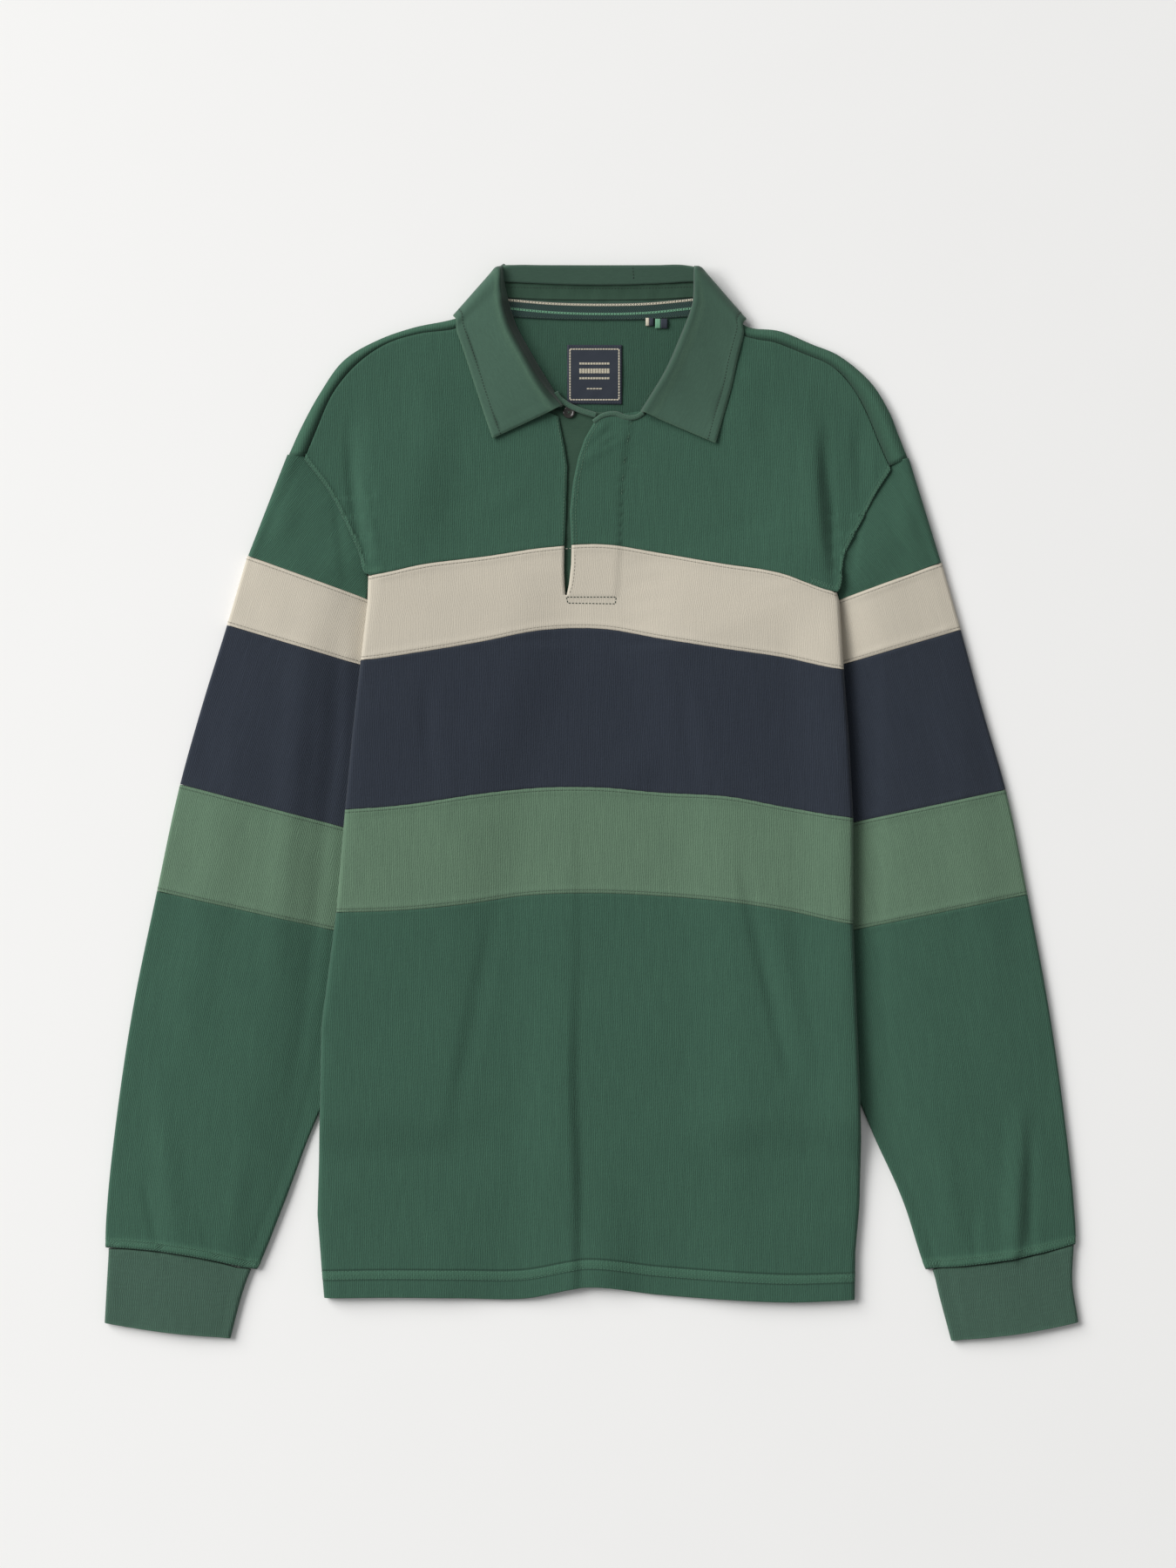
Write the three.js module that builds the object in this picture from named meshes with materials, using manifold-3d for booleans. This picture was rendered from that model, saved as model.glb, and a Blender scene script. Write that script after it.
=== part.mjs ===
// Rugby shirt with bands across body and sleeves, laid out flat with its sides and sleeves folded under.
// Millimetres. +X to the right, +Y towards the collar, +Z up, resting on z = 0.
import * as THREE from 'three';
import Module from 'manifold-3d';

const wasm = await Module();
wasm.setup();

// Cloth
const JERSEY = 1.5;
const TWILL = 1.6;
const RIB = 1.8;
const TAPE = 0.8;
const LAYER_GAP = 0.35;
const SEAM_GAP = 0.3;
const UPPER_GAP = 0.45;
const PITCH = JERSEY + LAYER_GAP;

// Heights of the middle of each layer
const BACK_REST = JERSEY / 2;
const FRONT_REST = 4.2;
const FRONT_REST_LOW = 3.3;
const SLEEVE_TOP = 4.4;
const SLEEVE_UNDER = BACK_REST + PITCH;
const SLEEVE_PUFF = 1.2;
const SLEEVE_STACK = 2 * PITCH;
const FOLD_HALF = 2.775;
const STAND_TOP = 4.2;
const LEAF_ROLL = 8.7;

// Spans over which heights change
const FLAP_MARGIN = 5;
const FLAP_RAMP = 22;
const NECK_RISE = 2.05;
const NECK_RAMP = 30;

const COLOUR = {
  green: 0x405c4d,
  collar: 0x476354,
  cuff: 0x455f52,
  stone: 0xc4bcae,
  navy: 0x343b45,
  sage: 0x637c67,
  cream: 0xcfc8b8,
  button: 0xb9b9ae,
};

// Seams across the body: heights at nine equal steps from the left fold to the right one
const SEAMS = {
  stoneTop: [167, 175.5, 181, 187.5, 190, 183.5, 176, 169, 154.5],
  stoneBottom: [105, 111, 118.5, 127, 128, 120.5, 113.5, 107, 98],
  navyBottom: [-4.5, -1, 6, 11, 11.5, 7.5, 5, -3.5, -10.5],
  sageBottom: [-80, -78.5, -74, -67.5, -66, -68, -72, -79, -88.5],
  hem: [-363.5, -363, -363.5, -364, -355.5, -361, -364.5, -366.5, -365],
};

// Outline of the folded body: height, x of the fold
const LEFT_EDGE = [[180, -162.5], [167, -164], [148, -164.5], [105, -169.5], [52, -175.5], [-5, -181],
  [-80, -187.5], [-165, -198.5], [-222, -199.5], [-268, -200.5], [-302, -201.5], [-341, -198.5], [-364, -196.5]];
const RIGHT_EDGE = [[174, 178], [155, 180], [148, 182], [99, 185], [46, 189], [-10, 192],
  [-88, 192], [-165, 195], [-212, 197], [-248, 198], [-295, 197], [-330, 194], [-365, 193.5]];

// Side seams of the parts folded under: height, x
const LEFT_FLAP = [[167, -158], [142, -111.5], [113, -58], [14, -95.5], [-82, -107], [-197, -114.5], [-364, -118.5]];
const RIGHT_FLAP = [[155, 174], [134, 122], [113, 68], [4, 107], [-101, 118.5], [-210, 119.5], [-364, 116]];

// Creases that run from the folds up towards the shoulders: height, x
const LEFT_CREASE = [[276, -178.5], [231, -176], [214, -174], [196, -171.5], [171, -164]];
const RIGHT_CREASE = [[270, 173.5], [233, 173.5], [202, 175.5], [171, 178.5]];

// Lines of the upper body from a top point to a base point: shoulder or neck seam, fold or back neck, base
const LEFT_UPPER = [
  { seam: [-209.5, 257.5], fold: [-222.5, 258], base: [-211, 252] },
  { seam: [-202, 274.5], fold: [-214, 276.5], base: [-198, 236] },
  { seam: [-189.5, 302], fold: [-199.5, 302.5], base: [-186, 217] },
  { seam: [-174.5, 320.5], fold: [-182.5, 326], base: [-177.5, 199] },
  { seam: [-150.5, 337.5], fold: [-155.5, 342], base: [-170, 182] },
  { seam: [-126, 345], fold: [-130, 350.5], base: [-165.5, 168.5] },
  { seam: [-102.5, 348], fold: [-104.5, 355.5], base: [-153, 171] },
  { seam: [-87, 354], fold: [-88.5, 360.5], base: [-130.5, 174] },
  { seam: [-78.5, 337.5], back: [-66.5, 367], base: [-102, 178] },
  { seam: [-64.5, 313.5], back: [-47.5, 368.5], base: [-76, 181.5] },
  { seam: [-45.5, 295.5], back: [-28, 369], base: [-49.5, 185.5] },
  { seam: [-24.5, 284], back: [-11, 369], base: [-20.5, 190] },
];
const RIGHT_UPPER = [
  { seam: [6, 283], back: [7, 369], base: [-13, 190] },
  { seam: [58, 294.5], back: [36, 369], base: [23, 189.5] },
  { seam: [77.5, 308.5], back: [58, 368.5], base: [52, 183.5] },
  { seam: [91.5, 331], back: [81.5, 368], base: [80.5, 178.5] },
  { seam: [100.5, 351.5], fold: [102, 359.5], base: [109.5, 173.5] },
  { seam: [114, 342.5], fold: [115, 350.5], base: [141.5, 168.5] },
  { seam: [137.5, 337.5], fold: [139, 347.5], base: [167, 163] },
  { seam: [154, 331], fold: [161.5, 338.5], base: [180, 158] },
  { seam: [178.5, 319.5], fold: [182.5, 329.5], base: [184.5, 179] },
  { seam: [192, 304.5], fold: [205.5, 310], base: [190.5, 192.5] },
  { seam: [202, 286.5], fold: [219, 288.5], base: [199, 208.5] },
  { seam: [210.5, 266], fold: [225.5, 272.5], base: [208.5, 227] },
  { seam: [218, 249.5], fold: [232.5, 256], base: [220, 244.5] },
];

// Lines across each sleeve: outer fold, crossing with the body's fold, inner fold, sag of the line, height there
const LEFT_SLEEVE = {
  stoneTop: { outer: [-253, 182], edge: [-165, 150], inner: [-65, 113], sag: 0, low: SLEEVE_UNDER },
  stoneBottom: { outer: [-268, 131], edge: [-171, 102], inner: [-79, 74], sag: 0, low: SLEEVE_UNDER },
  navyMiddle: { outer: [-286, 73], edge: [-177, 42], inner: [-96, 20.5], sag: 0, low: SLEEVE_UNDER },
  sageTop: { outer: [-302.5, 14], edge: [-183, -17.5], inner: [-118.5, -32.5], sag: 0, low: SLEEVE_UNDER },
  sageBottom: { outer: [-319.5, -64.5], edge: [-189, -93.5], inner: [-146.5, -102], sag: 0, low: SLEEVE_UNDER },
  middle: { outer: [-337.5, -152.5], edge: [-199, -171.5], inner: [-175.5, -173.5], sag: 0, low: SLEEVE_UNDER },
  clear: { outer: [-349, -229], edge: [-215.5, -241.5], inner: [-206.5, -242], sag: 0, low: 2.8 },
  lower: { outer: [-356, -293], edge: [-236, -296.5], inner: [-227, -296.5], sag: 1, low: SLEEVE_TOP },
  cuffTop: { outer: [-355, -327], edge: [-260, -342], inner: [-250, -343], sag: 3, low: SLEEVE_TOP },
  cuffMiddle: { outer: [-356.5, -354.5], edge: [-266, -361], inner: [-257, -361], sag: -2, low: SLEEVE_TOP },
  cuffEnd: { outer: [-358, -382], edge: [-273, -386], inner: [-264.5, -386.5], sag: -6, low: SLEEVE_TOP },
};
const RIGHT_SLEEVE = {
  stoneTop: { outer: [257.5, 177], edge: [181, 149], inner: [72, 111.5], sag: 0, low: SLEEVE_UNDER },
  stoneBottom: { outer: [271.5, 127.5], edge: [186.5, 102.5], inner: [86, 74.5], sag: 0, low: SLEEVE_UNDER },
  navyMiddle: { outer: [287.5, 68.5], edge: [191, 44], inner: [104.5, 22], sag: 0, low: SLEEVE_UNDER },
  sageTop: { outer: [304.5, 10], edge: [193, -14], inner: [127.5, -32], sag: 0, low: SLEEVE_UNDER },
  sageBottom: { outer: [320.5, -67], edge: [193.5, -93], inner: [153, -101], sag: 0, low: SLEEVE_UNDER },
  middle: { outer: [336.5, -152.5], edge: [196.5, -171.5], inner: [178.5, -173], sag: 0, low: SLEEVE_UNDER },
  clear: { outer: [347.5, -229], edge: [215, -241.5], inner: [206.5, -242], sag: 0, low: 2.8 },
  lower: { outer: [354.5, -293], edge: [239.5, -296.5], inner: [230.5, -296.5], sag: -1, low: SLEEVE_TOP },
  cuffTop: { outer: [355, -324.5], edge: [259, -342], inner: [249, -343], sag: -3, low: SLEEVE_TOP },
  cuffMiddle: { outer: [353.5, -350.5], edge: [265, -363.5], inner: [256, -363.5], sag: -3, low: SLEEVE_TOP },
  cuffEnd: { outer: [358, -381.5], edge: [273, -394.3], inner: [264.5, -395.3], sag: -2, low: SLEEVE_TOP },
};

// Lines across the collar fall, from its outer edge to the roll at the neck
const LEFT_COLLAR = [
  { outer: [-72.5, 268], roll: [-21, 292] },
  { outer: [-78, 284], roll: [-34.5, 310] },
  { outer: [-86, 308.5], roll: [-46.5, 330] },
  { outer: [-94, 333], roll: [-59, 354.5] },
  { outer: [-99, 348], roll: [-64.5, 377.5] },
];
const LEFT_TURN = { outer: [-102, 358.5], roll: [-68.5, 395], away: [-0.74, 0.67] };
const BACK_COLLAR = [
  { outer: [-88, 348], roll: [-56, 395] },
  { outer: [-62, 338], roll: [-36, 395] },
  { outer: [6, 334], roll: [6, 395] },
  { outer: [74, 338], roll: [48, 395] },
  { outer: [100, 346], roll: [67, 395] },
];
const RIGHT_TURN = { outer: [114, 356], roll: [79.5, 394], away: [0.74, 0.67] };
const RIGHT_COLLAR = [
  { outer: [111.5, 345], roll: [75, 370] },
  { outer: [107, 326.5], roll: [65.5, 340.5] },
  { outer: [102, 303.5], roll: [54.5, 316] },
  { outer: [96.5, 284], roll: [45.5, 301] },
  { outer: [91, 264.5], roll: [37, 287.5] },
];

// Edges of the placket above the stone band: height, x
const FLY_EDGE = [[284.8, 5], [266.9, -5.1], [253.4, -9.6], [236.2, -13.2], [214.4, -15.6], [190, -14.6]];
const SLIT_EDGE = [[284, -24.5], [275.8, -23], [261, -20], [247, -18.4], [214.4, -19], [190, -20]];

const mix = (a, b, t) => a + (b - a) * t;
const clamp = (t) => Math.min(1, Math.max(0, t));
const smooth = (t) => clamp(t) * clamp(t) * (3 - 2 * clamp(t));
const mixPoint = (p, q, t) => p.map((value, k) => mix(value, q[k], t));

// Value of a two-column table at a height, with straight steps between its rows
function read(table, y) {
  const rising = table[0][0] < table[table.length - 1][0];
  const rows = rising ? table : [...table].reverse();
  if (y <= rows[0][0]) return rows[0][1];
  for (let i = 1; i < rows.length; i += 1) {
    if (y <= rows[i][0]) {
      const t = (y - rows[i - 1][0]) / (rows[i][0] - rows[i - 1][0]);
      return mix(rows[i - 1][1], rows[i][1], t);
    }
  }
  return rows[rows.length - 1][1];
}

// Height of a seam at a share of the body's width, as a smooth curve through its nine values
function seamHeight(values, share) {
  const at = clamp(share) * (values.length - 1);
  const i = Math.min(Math.floor(at), values.length - 2);
  const t = at - i;
  const a = values[Math.max(i - 1, 0)];
  const b = values[i];
  const c = values[i + 1];
  const d = values[Math.min(i + 2, values.length - 1)];
  return 0.5 * (2 * b + (c - a) * t + (2 * a - 5 * b + 4 * c - d) * t * t + (3 * b - a - 3 * c + d) * t ** 3);
}

// Lift of the folded sides where the sleeves lie under them; the back sinks again above the armholes
const sleeveLift = (y) => SLEEVE_STACK * smooth((y + 264) / 36);
const backLift = (y) => sleeveLift(y) * (1 - smooth((y - 152) / 32));

// 1 on the raised sides of the body, 0 over its middle and beside the creases at the shoulders
function raised(x, y) {
  const strength = 1 - smooth((y - 148) / 141);
  const width = mix(8, 19, clamp((y - 171) / 105));
  const leftRise = y < 168 ? 1 : smooth((x - read(LEFT_CREASE, y)) / width);
  const rightRise = y < 155.5 ? 1 : smooth((read(RIGHT_CREASE, y) - x) / width);
  const leftEnd = Math.max(read(LEFT_FLAP, y), read(LEFT_EDGE, y) + 16);
  const rightEnd = Math.min(read(RIGHT_FLAP, y), read(RIGHT_EDGE, y) - 16);
  const left = leftRise * (1 - smooth((x - leftEnd - FLAP_MARGIN) / FLAP_RAMP));
  const right = rightRise * (1 - smooth((rightEnd - x - FLAP_MARGIN) / FLAP_RAMP));
  return strength * Math.max(left, right);
}

// 1 over the collar that is folded behind the neck
function overCollar(x, y) {
  const aside = Math.max(0, Math.abs(x - 6) - 122);
  const below = Math.max(0, 318 - y);
  return 1 - smooth(Math.hypot(aside, below) / NECK_RAMP);
}

function frontHeight(x, y) {
  const rest = mix(FRONT_REST_LOW, FRONT_REST, smooth((y - 80) / 80)) + 0.9 * overCollar(x, y);
  const side = sleeveLift(y) + BACK_REST + 3 * PITCH;
  return mix(rest, side, raised(x, y));
}

function backHeight(x, y) {
  const rest = BACK_REST + NECK_RISE * overCollar(x, y);
  const side = backLift(y) + BACK_REST + 2 * PITCH;
  return mix(rest, side, raised(x, y));
}

// Closed body of cloth around a grid of middle points; a round grid closes on itself along each row
function clothGeometry(grid, wall, round = false) {
  const rows = grid.length;
  const columns = grid[0].length;
  const point = (i, j) => {
    const row = grid[Math.min(Math.max(i, 0), rows - 1)];
    const k = round ? (j + columns) % columns : Math.min(Math.max(j, 0), columns - 1);
    return new THREE.Vector3(...row[k]);
  };
  const positions = [];
  for (const side of [0.5, -0.5]) {
    for (let i = 0; i < rows; i += 1) {
      for (let j = 0; j < columns; j += 1) {
        const along = point(i, j + 1).sub(point(i, j - 1));
        const across = point(i + 1, j).sub(point(i - 1, j));
        const normal = along.cross(across).normalize();
        positions.push(...point(i, j).addScaledVector(normal, side * wall).toArray());
      }
    }
  }
  const index = [];
  const quad = (a, b, c, d) => index.push(a, b, c, a, c, d);
  const quadBack = (a, b, c, d) => index.push(a, c, b, a, d, c);
  const at = (i, j) => i * columns + ((j + columns) % columns);
  const inner = rows * columns;
  const spans = round ? columns : columns - 1;
  for (let i = 0; i < rows - 1; i += 1) {
    for (let j = 0; j < spans; j += 1) {
      const [a, b, c, d] = [at(i, j), at(i, j + 1), at(i + 1, j + 1), at(i + 1, j)];
      quad(a, b, c, d);
      quadBack(inner + a, inner + b, inner + c, inner + d);
    }
  }
  for (let j = 0; j < spans; j += 1) {
    quad(at(0, j + 1), at(0, j), inner + at(0, j), inner + at(0, j + 1));
    quad(at(rows - 1, j), at(rows - 1, j + 1), inner + at(rows - 1, j + 1), inner + at(rows - 1, j));
  }
  if (!round) {
    for (let i = 0; i < rows - 1; i += 1) {
      quad(at(i, 0), at(i + 1, 0), inner + at(i + 1, 0), inner + at(i, 0));
      quad(at(i + 1, columns - 1), at(i, columns - 1), inner + at(i, columns - 1), inner + at(i + 1, columns - 1));
    }
  }
  const geometry = new THREE.BufferGeometry();
  geometry.setAttribute('position', new THREE.Float32BufferAttribute(positions, 3));
  geometry.setIndex(index);
  return facingOut(geometry);
}

// The same geometry with its faces turned out if they face in
function facingOut(geometry) {
  const p = geometry.getAttribute('position');
  const index = geometry.getIndex().array;
  const corner = (k) => new THREE.Vector3().fromBufferAttribute(p, index[k]);
  let volume = 0;
  for (let k = 0; k < index.length; k += 3) {
    volume += corner(k).dot(corner(k + 1).cross(corner(k + 2)));
  }
  if (volume < 0) {
    for (let k = 0; k < index.length; k += 3) {
      [index[k], index[k + 1]] = [index[k + 1], index[k]];
    }
  }
  return geometry;
}

// The grid with its first and last rows drawn in by half a seam gap
function trimRows(grid, gap = SEAM_GAP) {
  const pull = (from, to) => from.map((p, j) => {
    const q = to[j];
    const reach = Math.hypot(q[0] - p[0], q[1] - p[1], q[2] - p[2]);
    return mixPoint(p, q, gap / 2 / reach);
  });
  const last = grid.length - 1;
  return [pull(grid[0], grid[1]), ...grid.slice(1, last), pull(grid[last], grid[last - 1])];
}

const model = new THREE.Group();

function addNode(name, geometry, colour, roughness = 0.95) {
  const material = new THREE.MeshStandardMaterial({ color: colour, roughness, metalness: 0 });
  const mesh = new THREE.Mesh(geometry, material);
  mesh.name = name;
  model.add(mesh);
}

// Section of the body at one line: under the left fold, over the top and under the right fold
// layer 0 is the front panel outside, layer 1 the back panel inside it
function bodySection(heightAt, layer) {
  const yLeft = heightAt(0);
  const yRight = heightAt(1);
  const left = read(LEFT_EDGE, yLeft);
  const right = read(RIGHT_EDGE, yRight);
  const inset = JERSEY / 2 + layer * PITCH;
  const reach = FOLD_HALF - layer * PITCH;
  const leftEnd = Math.max(read(LEFT_FLAP, yLeft), left + 6);
  const rightEnd = Math.min(read(RIGHT_FLAP, yRight), right - 6);
  const height = layer ? backHeight : frontHeight;
  const share = (x) => (x - left) / (right - left);
  const crossing = (table, from, to) => {
    let [near, far] = [from, to];
    for (let i = 0; i < 24; i += 1) {
      const x = (near + far) / 2;
      const inside = (read(table, heightAt(share(x))) - x) * Math.sign(to - from) > 0;
      [near, far] = inside ? [x, far] : [near, x];
    }
    return near;
  };
  const leftTop = crossing(LEFT_FLAP, left + 16, 0) + FLAP_MARGIN;
  const rightTop = crossing(RIGHT_FLAP, right - 16, 0) - FLAP_MARGIN;
  const top = (x) => [x, heightAt(share(x)), height(x, heightAt(share(x)))];
  const under = (x, y) => [x, y, backLift(y) + BACK_REST + layer * PITCH];
  const turn = (x, y, away, low, high) => [-45, 0, 45].map((degrees) => {
    const angle = THREE.MathUtils.degToRad(degrees);
    return [x + away * reach * Math.cos(angle), y, mix(low, high, 0.5 + 0.5 * Math.sin(angle))];
  });
  const leftFold = left + inset + reach;
  const rightFold = right - inset - reach;
  const points = [1, 0.5, 0.15].map((t) => under(mix(leftFold, leftEnd, t), yLeft));
  points.push(under(leftFold, yLeft));
  points.push(...turn(leftFold, yLeft, -1, under(leftFold, yLeft)[2], top(leftFold)[2]));
  points.push(...[0, 0.5, 1].map((t) => top(mix(leftFold, leftTop, t))));
  points.push(...[0.5, 1].map((t) => top(leftTop + FLAP_RAMP * t)));
  const middle = [leftTop + FLAP_RAMP, rightTop - FLAP_RAMP];
  points.push(...[0.2, 0.4, 0.6, 0.8].map((t) => top(mix(...middle, t))));
  points.push(...[1, 0.5].map((t) => top(rightTop - FLAP_RAMP * t)));
  points.push(...[1, 0.5, 0].map((t) => top(mix(rightFold, rightTop, t))));
  points.push(...turn(rightFold, yRight, 1, under(rightFold, yRight)[2], top(rightFold)[2]).reverse());
  points.push(under(rightFold, yRight));
  points.push(...[0.15, 0.5, 1].map((t) => under(mix(rightFold, rightEnd, t), yRight)));
  return points;
}

// Band of the body between two seams, with the shares of its length where a section stands
function bodyBand(upper, lower, shares, layer) {
  const rows = shares.map((t) => {
    const heightAt = (share) => mix(seamHeight(upper, share), seamHeight(lower, share), t);
    return bodySection(heightAt, layer);
  });
  return clothGeometry(trimRows(rows), JERSEY);
}

const BANDS = [
  { name: 'stone', upper: SEAMS.stoneTop, lower: SEAMS.stoneBottom, shares: [0, 0.35, 0.7, 1], colour: COLOUR.stone },
  { name: 'navy', upper: SEAMS.stoneBottom, lower: SEAMS.navyBottom, shares: [0, 0.13, 0.5, 1], colour: COLOUR.navy },
  { name: 'sage', upper: SEAMS.navyBottom, lower: SEAMS.sageBottom, shares: [0, 1], colour: COLOUR.sage },
  { name: 'lower', upper: SEAMS.sageBottom, lower: SEAMS.hem, shares: [0, 0.3, 0.5, 0.66, 0.84, 1], colour: COLOUR.green },
];

// Solid of manifold-3d from a closed geometry, and back
function toSolid(geometry) {
  const mesh = new wasm.Mesh({
    numProp: 3,
    vertProperties: new Float32Array(geometry.getAttribute('position').array),
    triVerts: new Uint32Array(geometry.getIndex().array),
  });
  return new wasm.Manifold(mesh);
}

function fromSolid(solid) {
  const mesh = solid.getMesh();
  const geometry = new THREE.BufferGeometry();
  geometry.setAttribute('position', new THREE.Float32BufferAttribute(mesh.vertProperties, 3));
  geometry.setIndex([...mesh.triVerts]);
  return geometry;
}

// Upright prism over an outline in plan
function prism(outline, low, high) {
  const side = outline.length;
  const positions = [low, high].flatMap((z) => outline.flatMap(([x, y]) => [x, y, z]));
  const index = [];
  THREE.ShapeUtils.triangulateShape(outline.map(([x, y]) => new THREE.Vector2(x, y)), []).forEach(([a, b, c]) => {
    index.push(a, c, b, a + side, b + side, c + side);
  });
  for (let i = 0; i < side; i += 1) {
    const next = (i + 1) % side;
    index.push(i, next, next + side, i, next + side, i + side);
  }
  const geometry = new THREE.BufferGeometry();
  geometry.setAttribute('position', new THREE.Float32BufferAttribute(positions, 3));
  geometry.setIndex(index);
  return facingOut(geometry);
}

// Wedge of the placket slit in the stone band
const SLIT = [[-20, 196], [-20, 173], [-19, 160.5], [-18.5, 152.5], [-17, 160.5], [-15, 175.5], [-14.5, 196]];

for (const band of BANDS) {
  let front = bodyBand(band.upper, band.lower, band.shares, 0);
  if (band.name === 'stone') {
    front = fromSolid(toSolid(front).subtract(toSolid(prism(SLIT, 2.5, 9))));
  }
  addNode(`front_${band.name}`, front, band.colour);
  addNode(`back_${band.name}`, bodyBand(band.upper, band.lower, band.shares, 1), band.colour);
}

// Base of the upper body, a seam gap above the stone band
function upperBase(base) {
  const left = read(LEFT_EDGE, 167);
  const right = read(RIGHT_EDGE, 155);
  const share = (base[0] - left) / (right - left);
  const seam = seamHeight(SEAMS.stoneTop, share);
  const beside = base[0] < left - 1 || base[0] > right + 0.5 || base[1] > seam + 6;
  return [base[0], (beside ? base[1] : seam) + UPPER_GAP];
}

// Half of the front above the stone band, from its shoulder and neck seams down
const UPPER_SHARES = [0.28, 0.46, 0.75, 0.9, 1];

function frontUpper(lines, edgeLine, edge) {
  const grid = lines.map((line) => {
    const base = upperBase(line.base);
    return [0.01, ...UPPER_SHARES].map((t) => {
      const [straight, y] = mixPoint(line.seam, base, t);
      const x = line === edgeLine ? read(edge, y) : straight;
      return [x, y, frontHeight(x, y)];
    });
  });
  return clothGeometry(grid, JERSEY);
}

addNode('front_upper_left', frontUpper(LEFT_UPPER, LEFT_UPPER[11], SLIT_EDGE), COLOUR.green);
addNode('front_upper_right', frontUpper(RIGHT_UPPER, RIGHT_UPPER[0], FLY_EDGE), COLOUR.green);

// The back above the stone band, turned over the shoulders to the seam in front of them
function backUpper() {
  const grid = [...LEFT_UPPER, ...RIGHT_UPPER].map((line) => {
    const base = upperBase(line.base);
    const start = line.fold ?? line.back;
    const reach = Math.hypot(base[0] - start[0], base[1] - start[1]);
    const step = (distance) => mixPoint(start, base, distance / reach);
    const down = UPPER_SHARES.map((t) => {
      const [x, y] = mixPoint(start, base, t);
      return [x, y, backHeight(x, y)];
    });
    if (!line.fold) {
      const flat = [0, 0.8, 1.6, 2.4, 3.4].map((distance) => {
        const [x, y] = step(distance);
        return [x, y, backHeight(x, y)];
      });
      return [...flat, ...down];
    }
    const low = backHeight(...start);
    const high = frontHeight(...line.seam);
    const half = (high - low) / 2;
    const seamEdge = mixPoint(line.seam, start, 0.03);
    const turned = [[60, 0.5], [0, 1], [-60, 0.5]].map(([degrees, out]) => {
      const [x, y] = step(JERSEY / 2 + half * (1 - out));
      return [x, y, low + half + half * Math.sin(THREE.MathUtils.degToRad(degrees))];
    });
    const [x, y] = step(JERSEY / 2 + half + 1);
    return [[...seamEdge, high], ...turned, [x, y, low], ...down];
  });
  return clothGeometry(grid, JERSEY);
}

addNode('back_upper', backUpper(), COLOUR.green);

// Height of a sleeve's upper layer at a share of its width that shows
function sleeveTop(line, share) {
  const full = SLEEVE_TOP + SLEEVE_PUFF * Math.sin(Math.PI * clamp(share));
  return full - (SLEEVE_TOP - line.low) * smooth((share - 0.6) / 0.4);
}

// Round section of a sleeve at one line, from the outer fold over the top and back under
function sleeveSection(line, wall) {
  const rest = wall / 2;
  const seen = Math.hypot(line.edge[0] - line.outer[0], line.edge[1] - line.outer[1]);
  const hidden = Math.hypot(line.inner[0] - line.edge[0], line.inner[1] - line.edge[1]);
  const outerHalf = (SLEEVE_TOP - rest) / 2;
  const innerHalf = (line.low - rest) / 2;
  const start = (rest + outerHalf) / seen;
  const end = 1 - (rest + innerHalf) / hidden;
  const sag = (share) => 4 * line.sag * share * (1 - share);
  const visible = (share, z) => {
    const [x, y] = mixPoint(line.outer, line.edge, share);
    return [x, y + sag(share), z];
  };
  const covered = (share, z) => [...mixPoint(line.edge, line.inner, share), z];
  const outerTurn = [-45, 0, 45].map((degrees) => {
    const angle = THREE.MathUtils.degToRad(degrees);
    const share = start - (outerHalf * Math.cos(angle)) / seen;
    return visible(share, rest + outerHalf * (1 + Math.sin(angle)));
  });
  const over = [start, 0.22, 0.45, 0.7, 0.88, 1].map((share) => visible(share, sleeveTop(line, share)));
  const overHidden = [end * 0.5, end].map((share) => covered(share, line.low));
  const innerTurn = covered(1 - rest / hidden, rest + innerHalf);
  const back = [covered(end, rest), covered(0, rest), visible(0.5, rest), visible(start, rest)];
  return [...outerTurn, ...over, ...overHidden, innerTurn, ...back];
}

function addSleeve(side, lines) {
  const piece = (name, keys, colour, wall = JERSEY) => {
    const rows = keys.map((key) => sleeveSection(lines[key], wall));
    addNode(`${name}_${side}`, clothGeometry(trimRows(rows), wall, true), colour);
  };
  piece('sleeve_stone', ['stoneTop', 'stoneBottom'], COLOUR.stone);
  piece('sleeve_navy', ['stoneBottom', 'navyMiddle', 'sageTop'], COLOUR.navy);
  piece('sleeve_sage', ['sageTop', 'sageBottom'], COLOUR.sage);
  piece('sleeve_lower', ['sageBottom', 'middle', 'clear', 'lower', 'cuffTop'], COLOUR.green);
  piece('cuff', ['cuffTop', 'cuffMiddle', 'cuffEnd'], COLOUR.cuff, RIB);
}

addSleeve('left', LEFT_SLEEVE);
addSleeve('right', RIGHT_SLEEVE);

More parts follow.
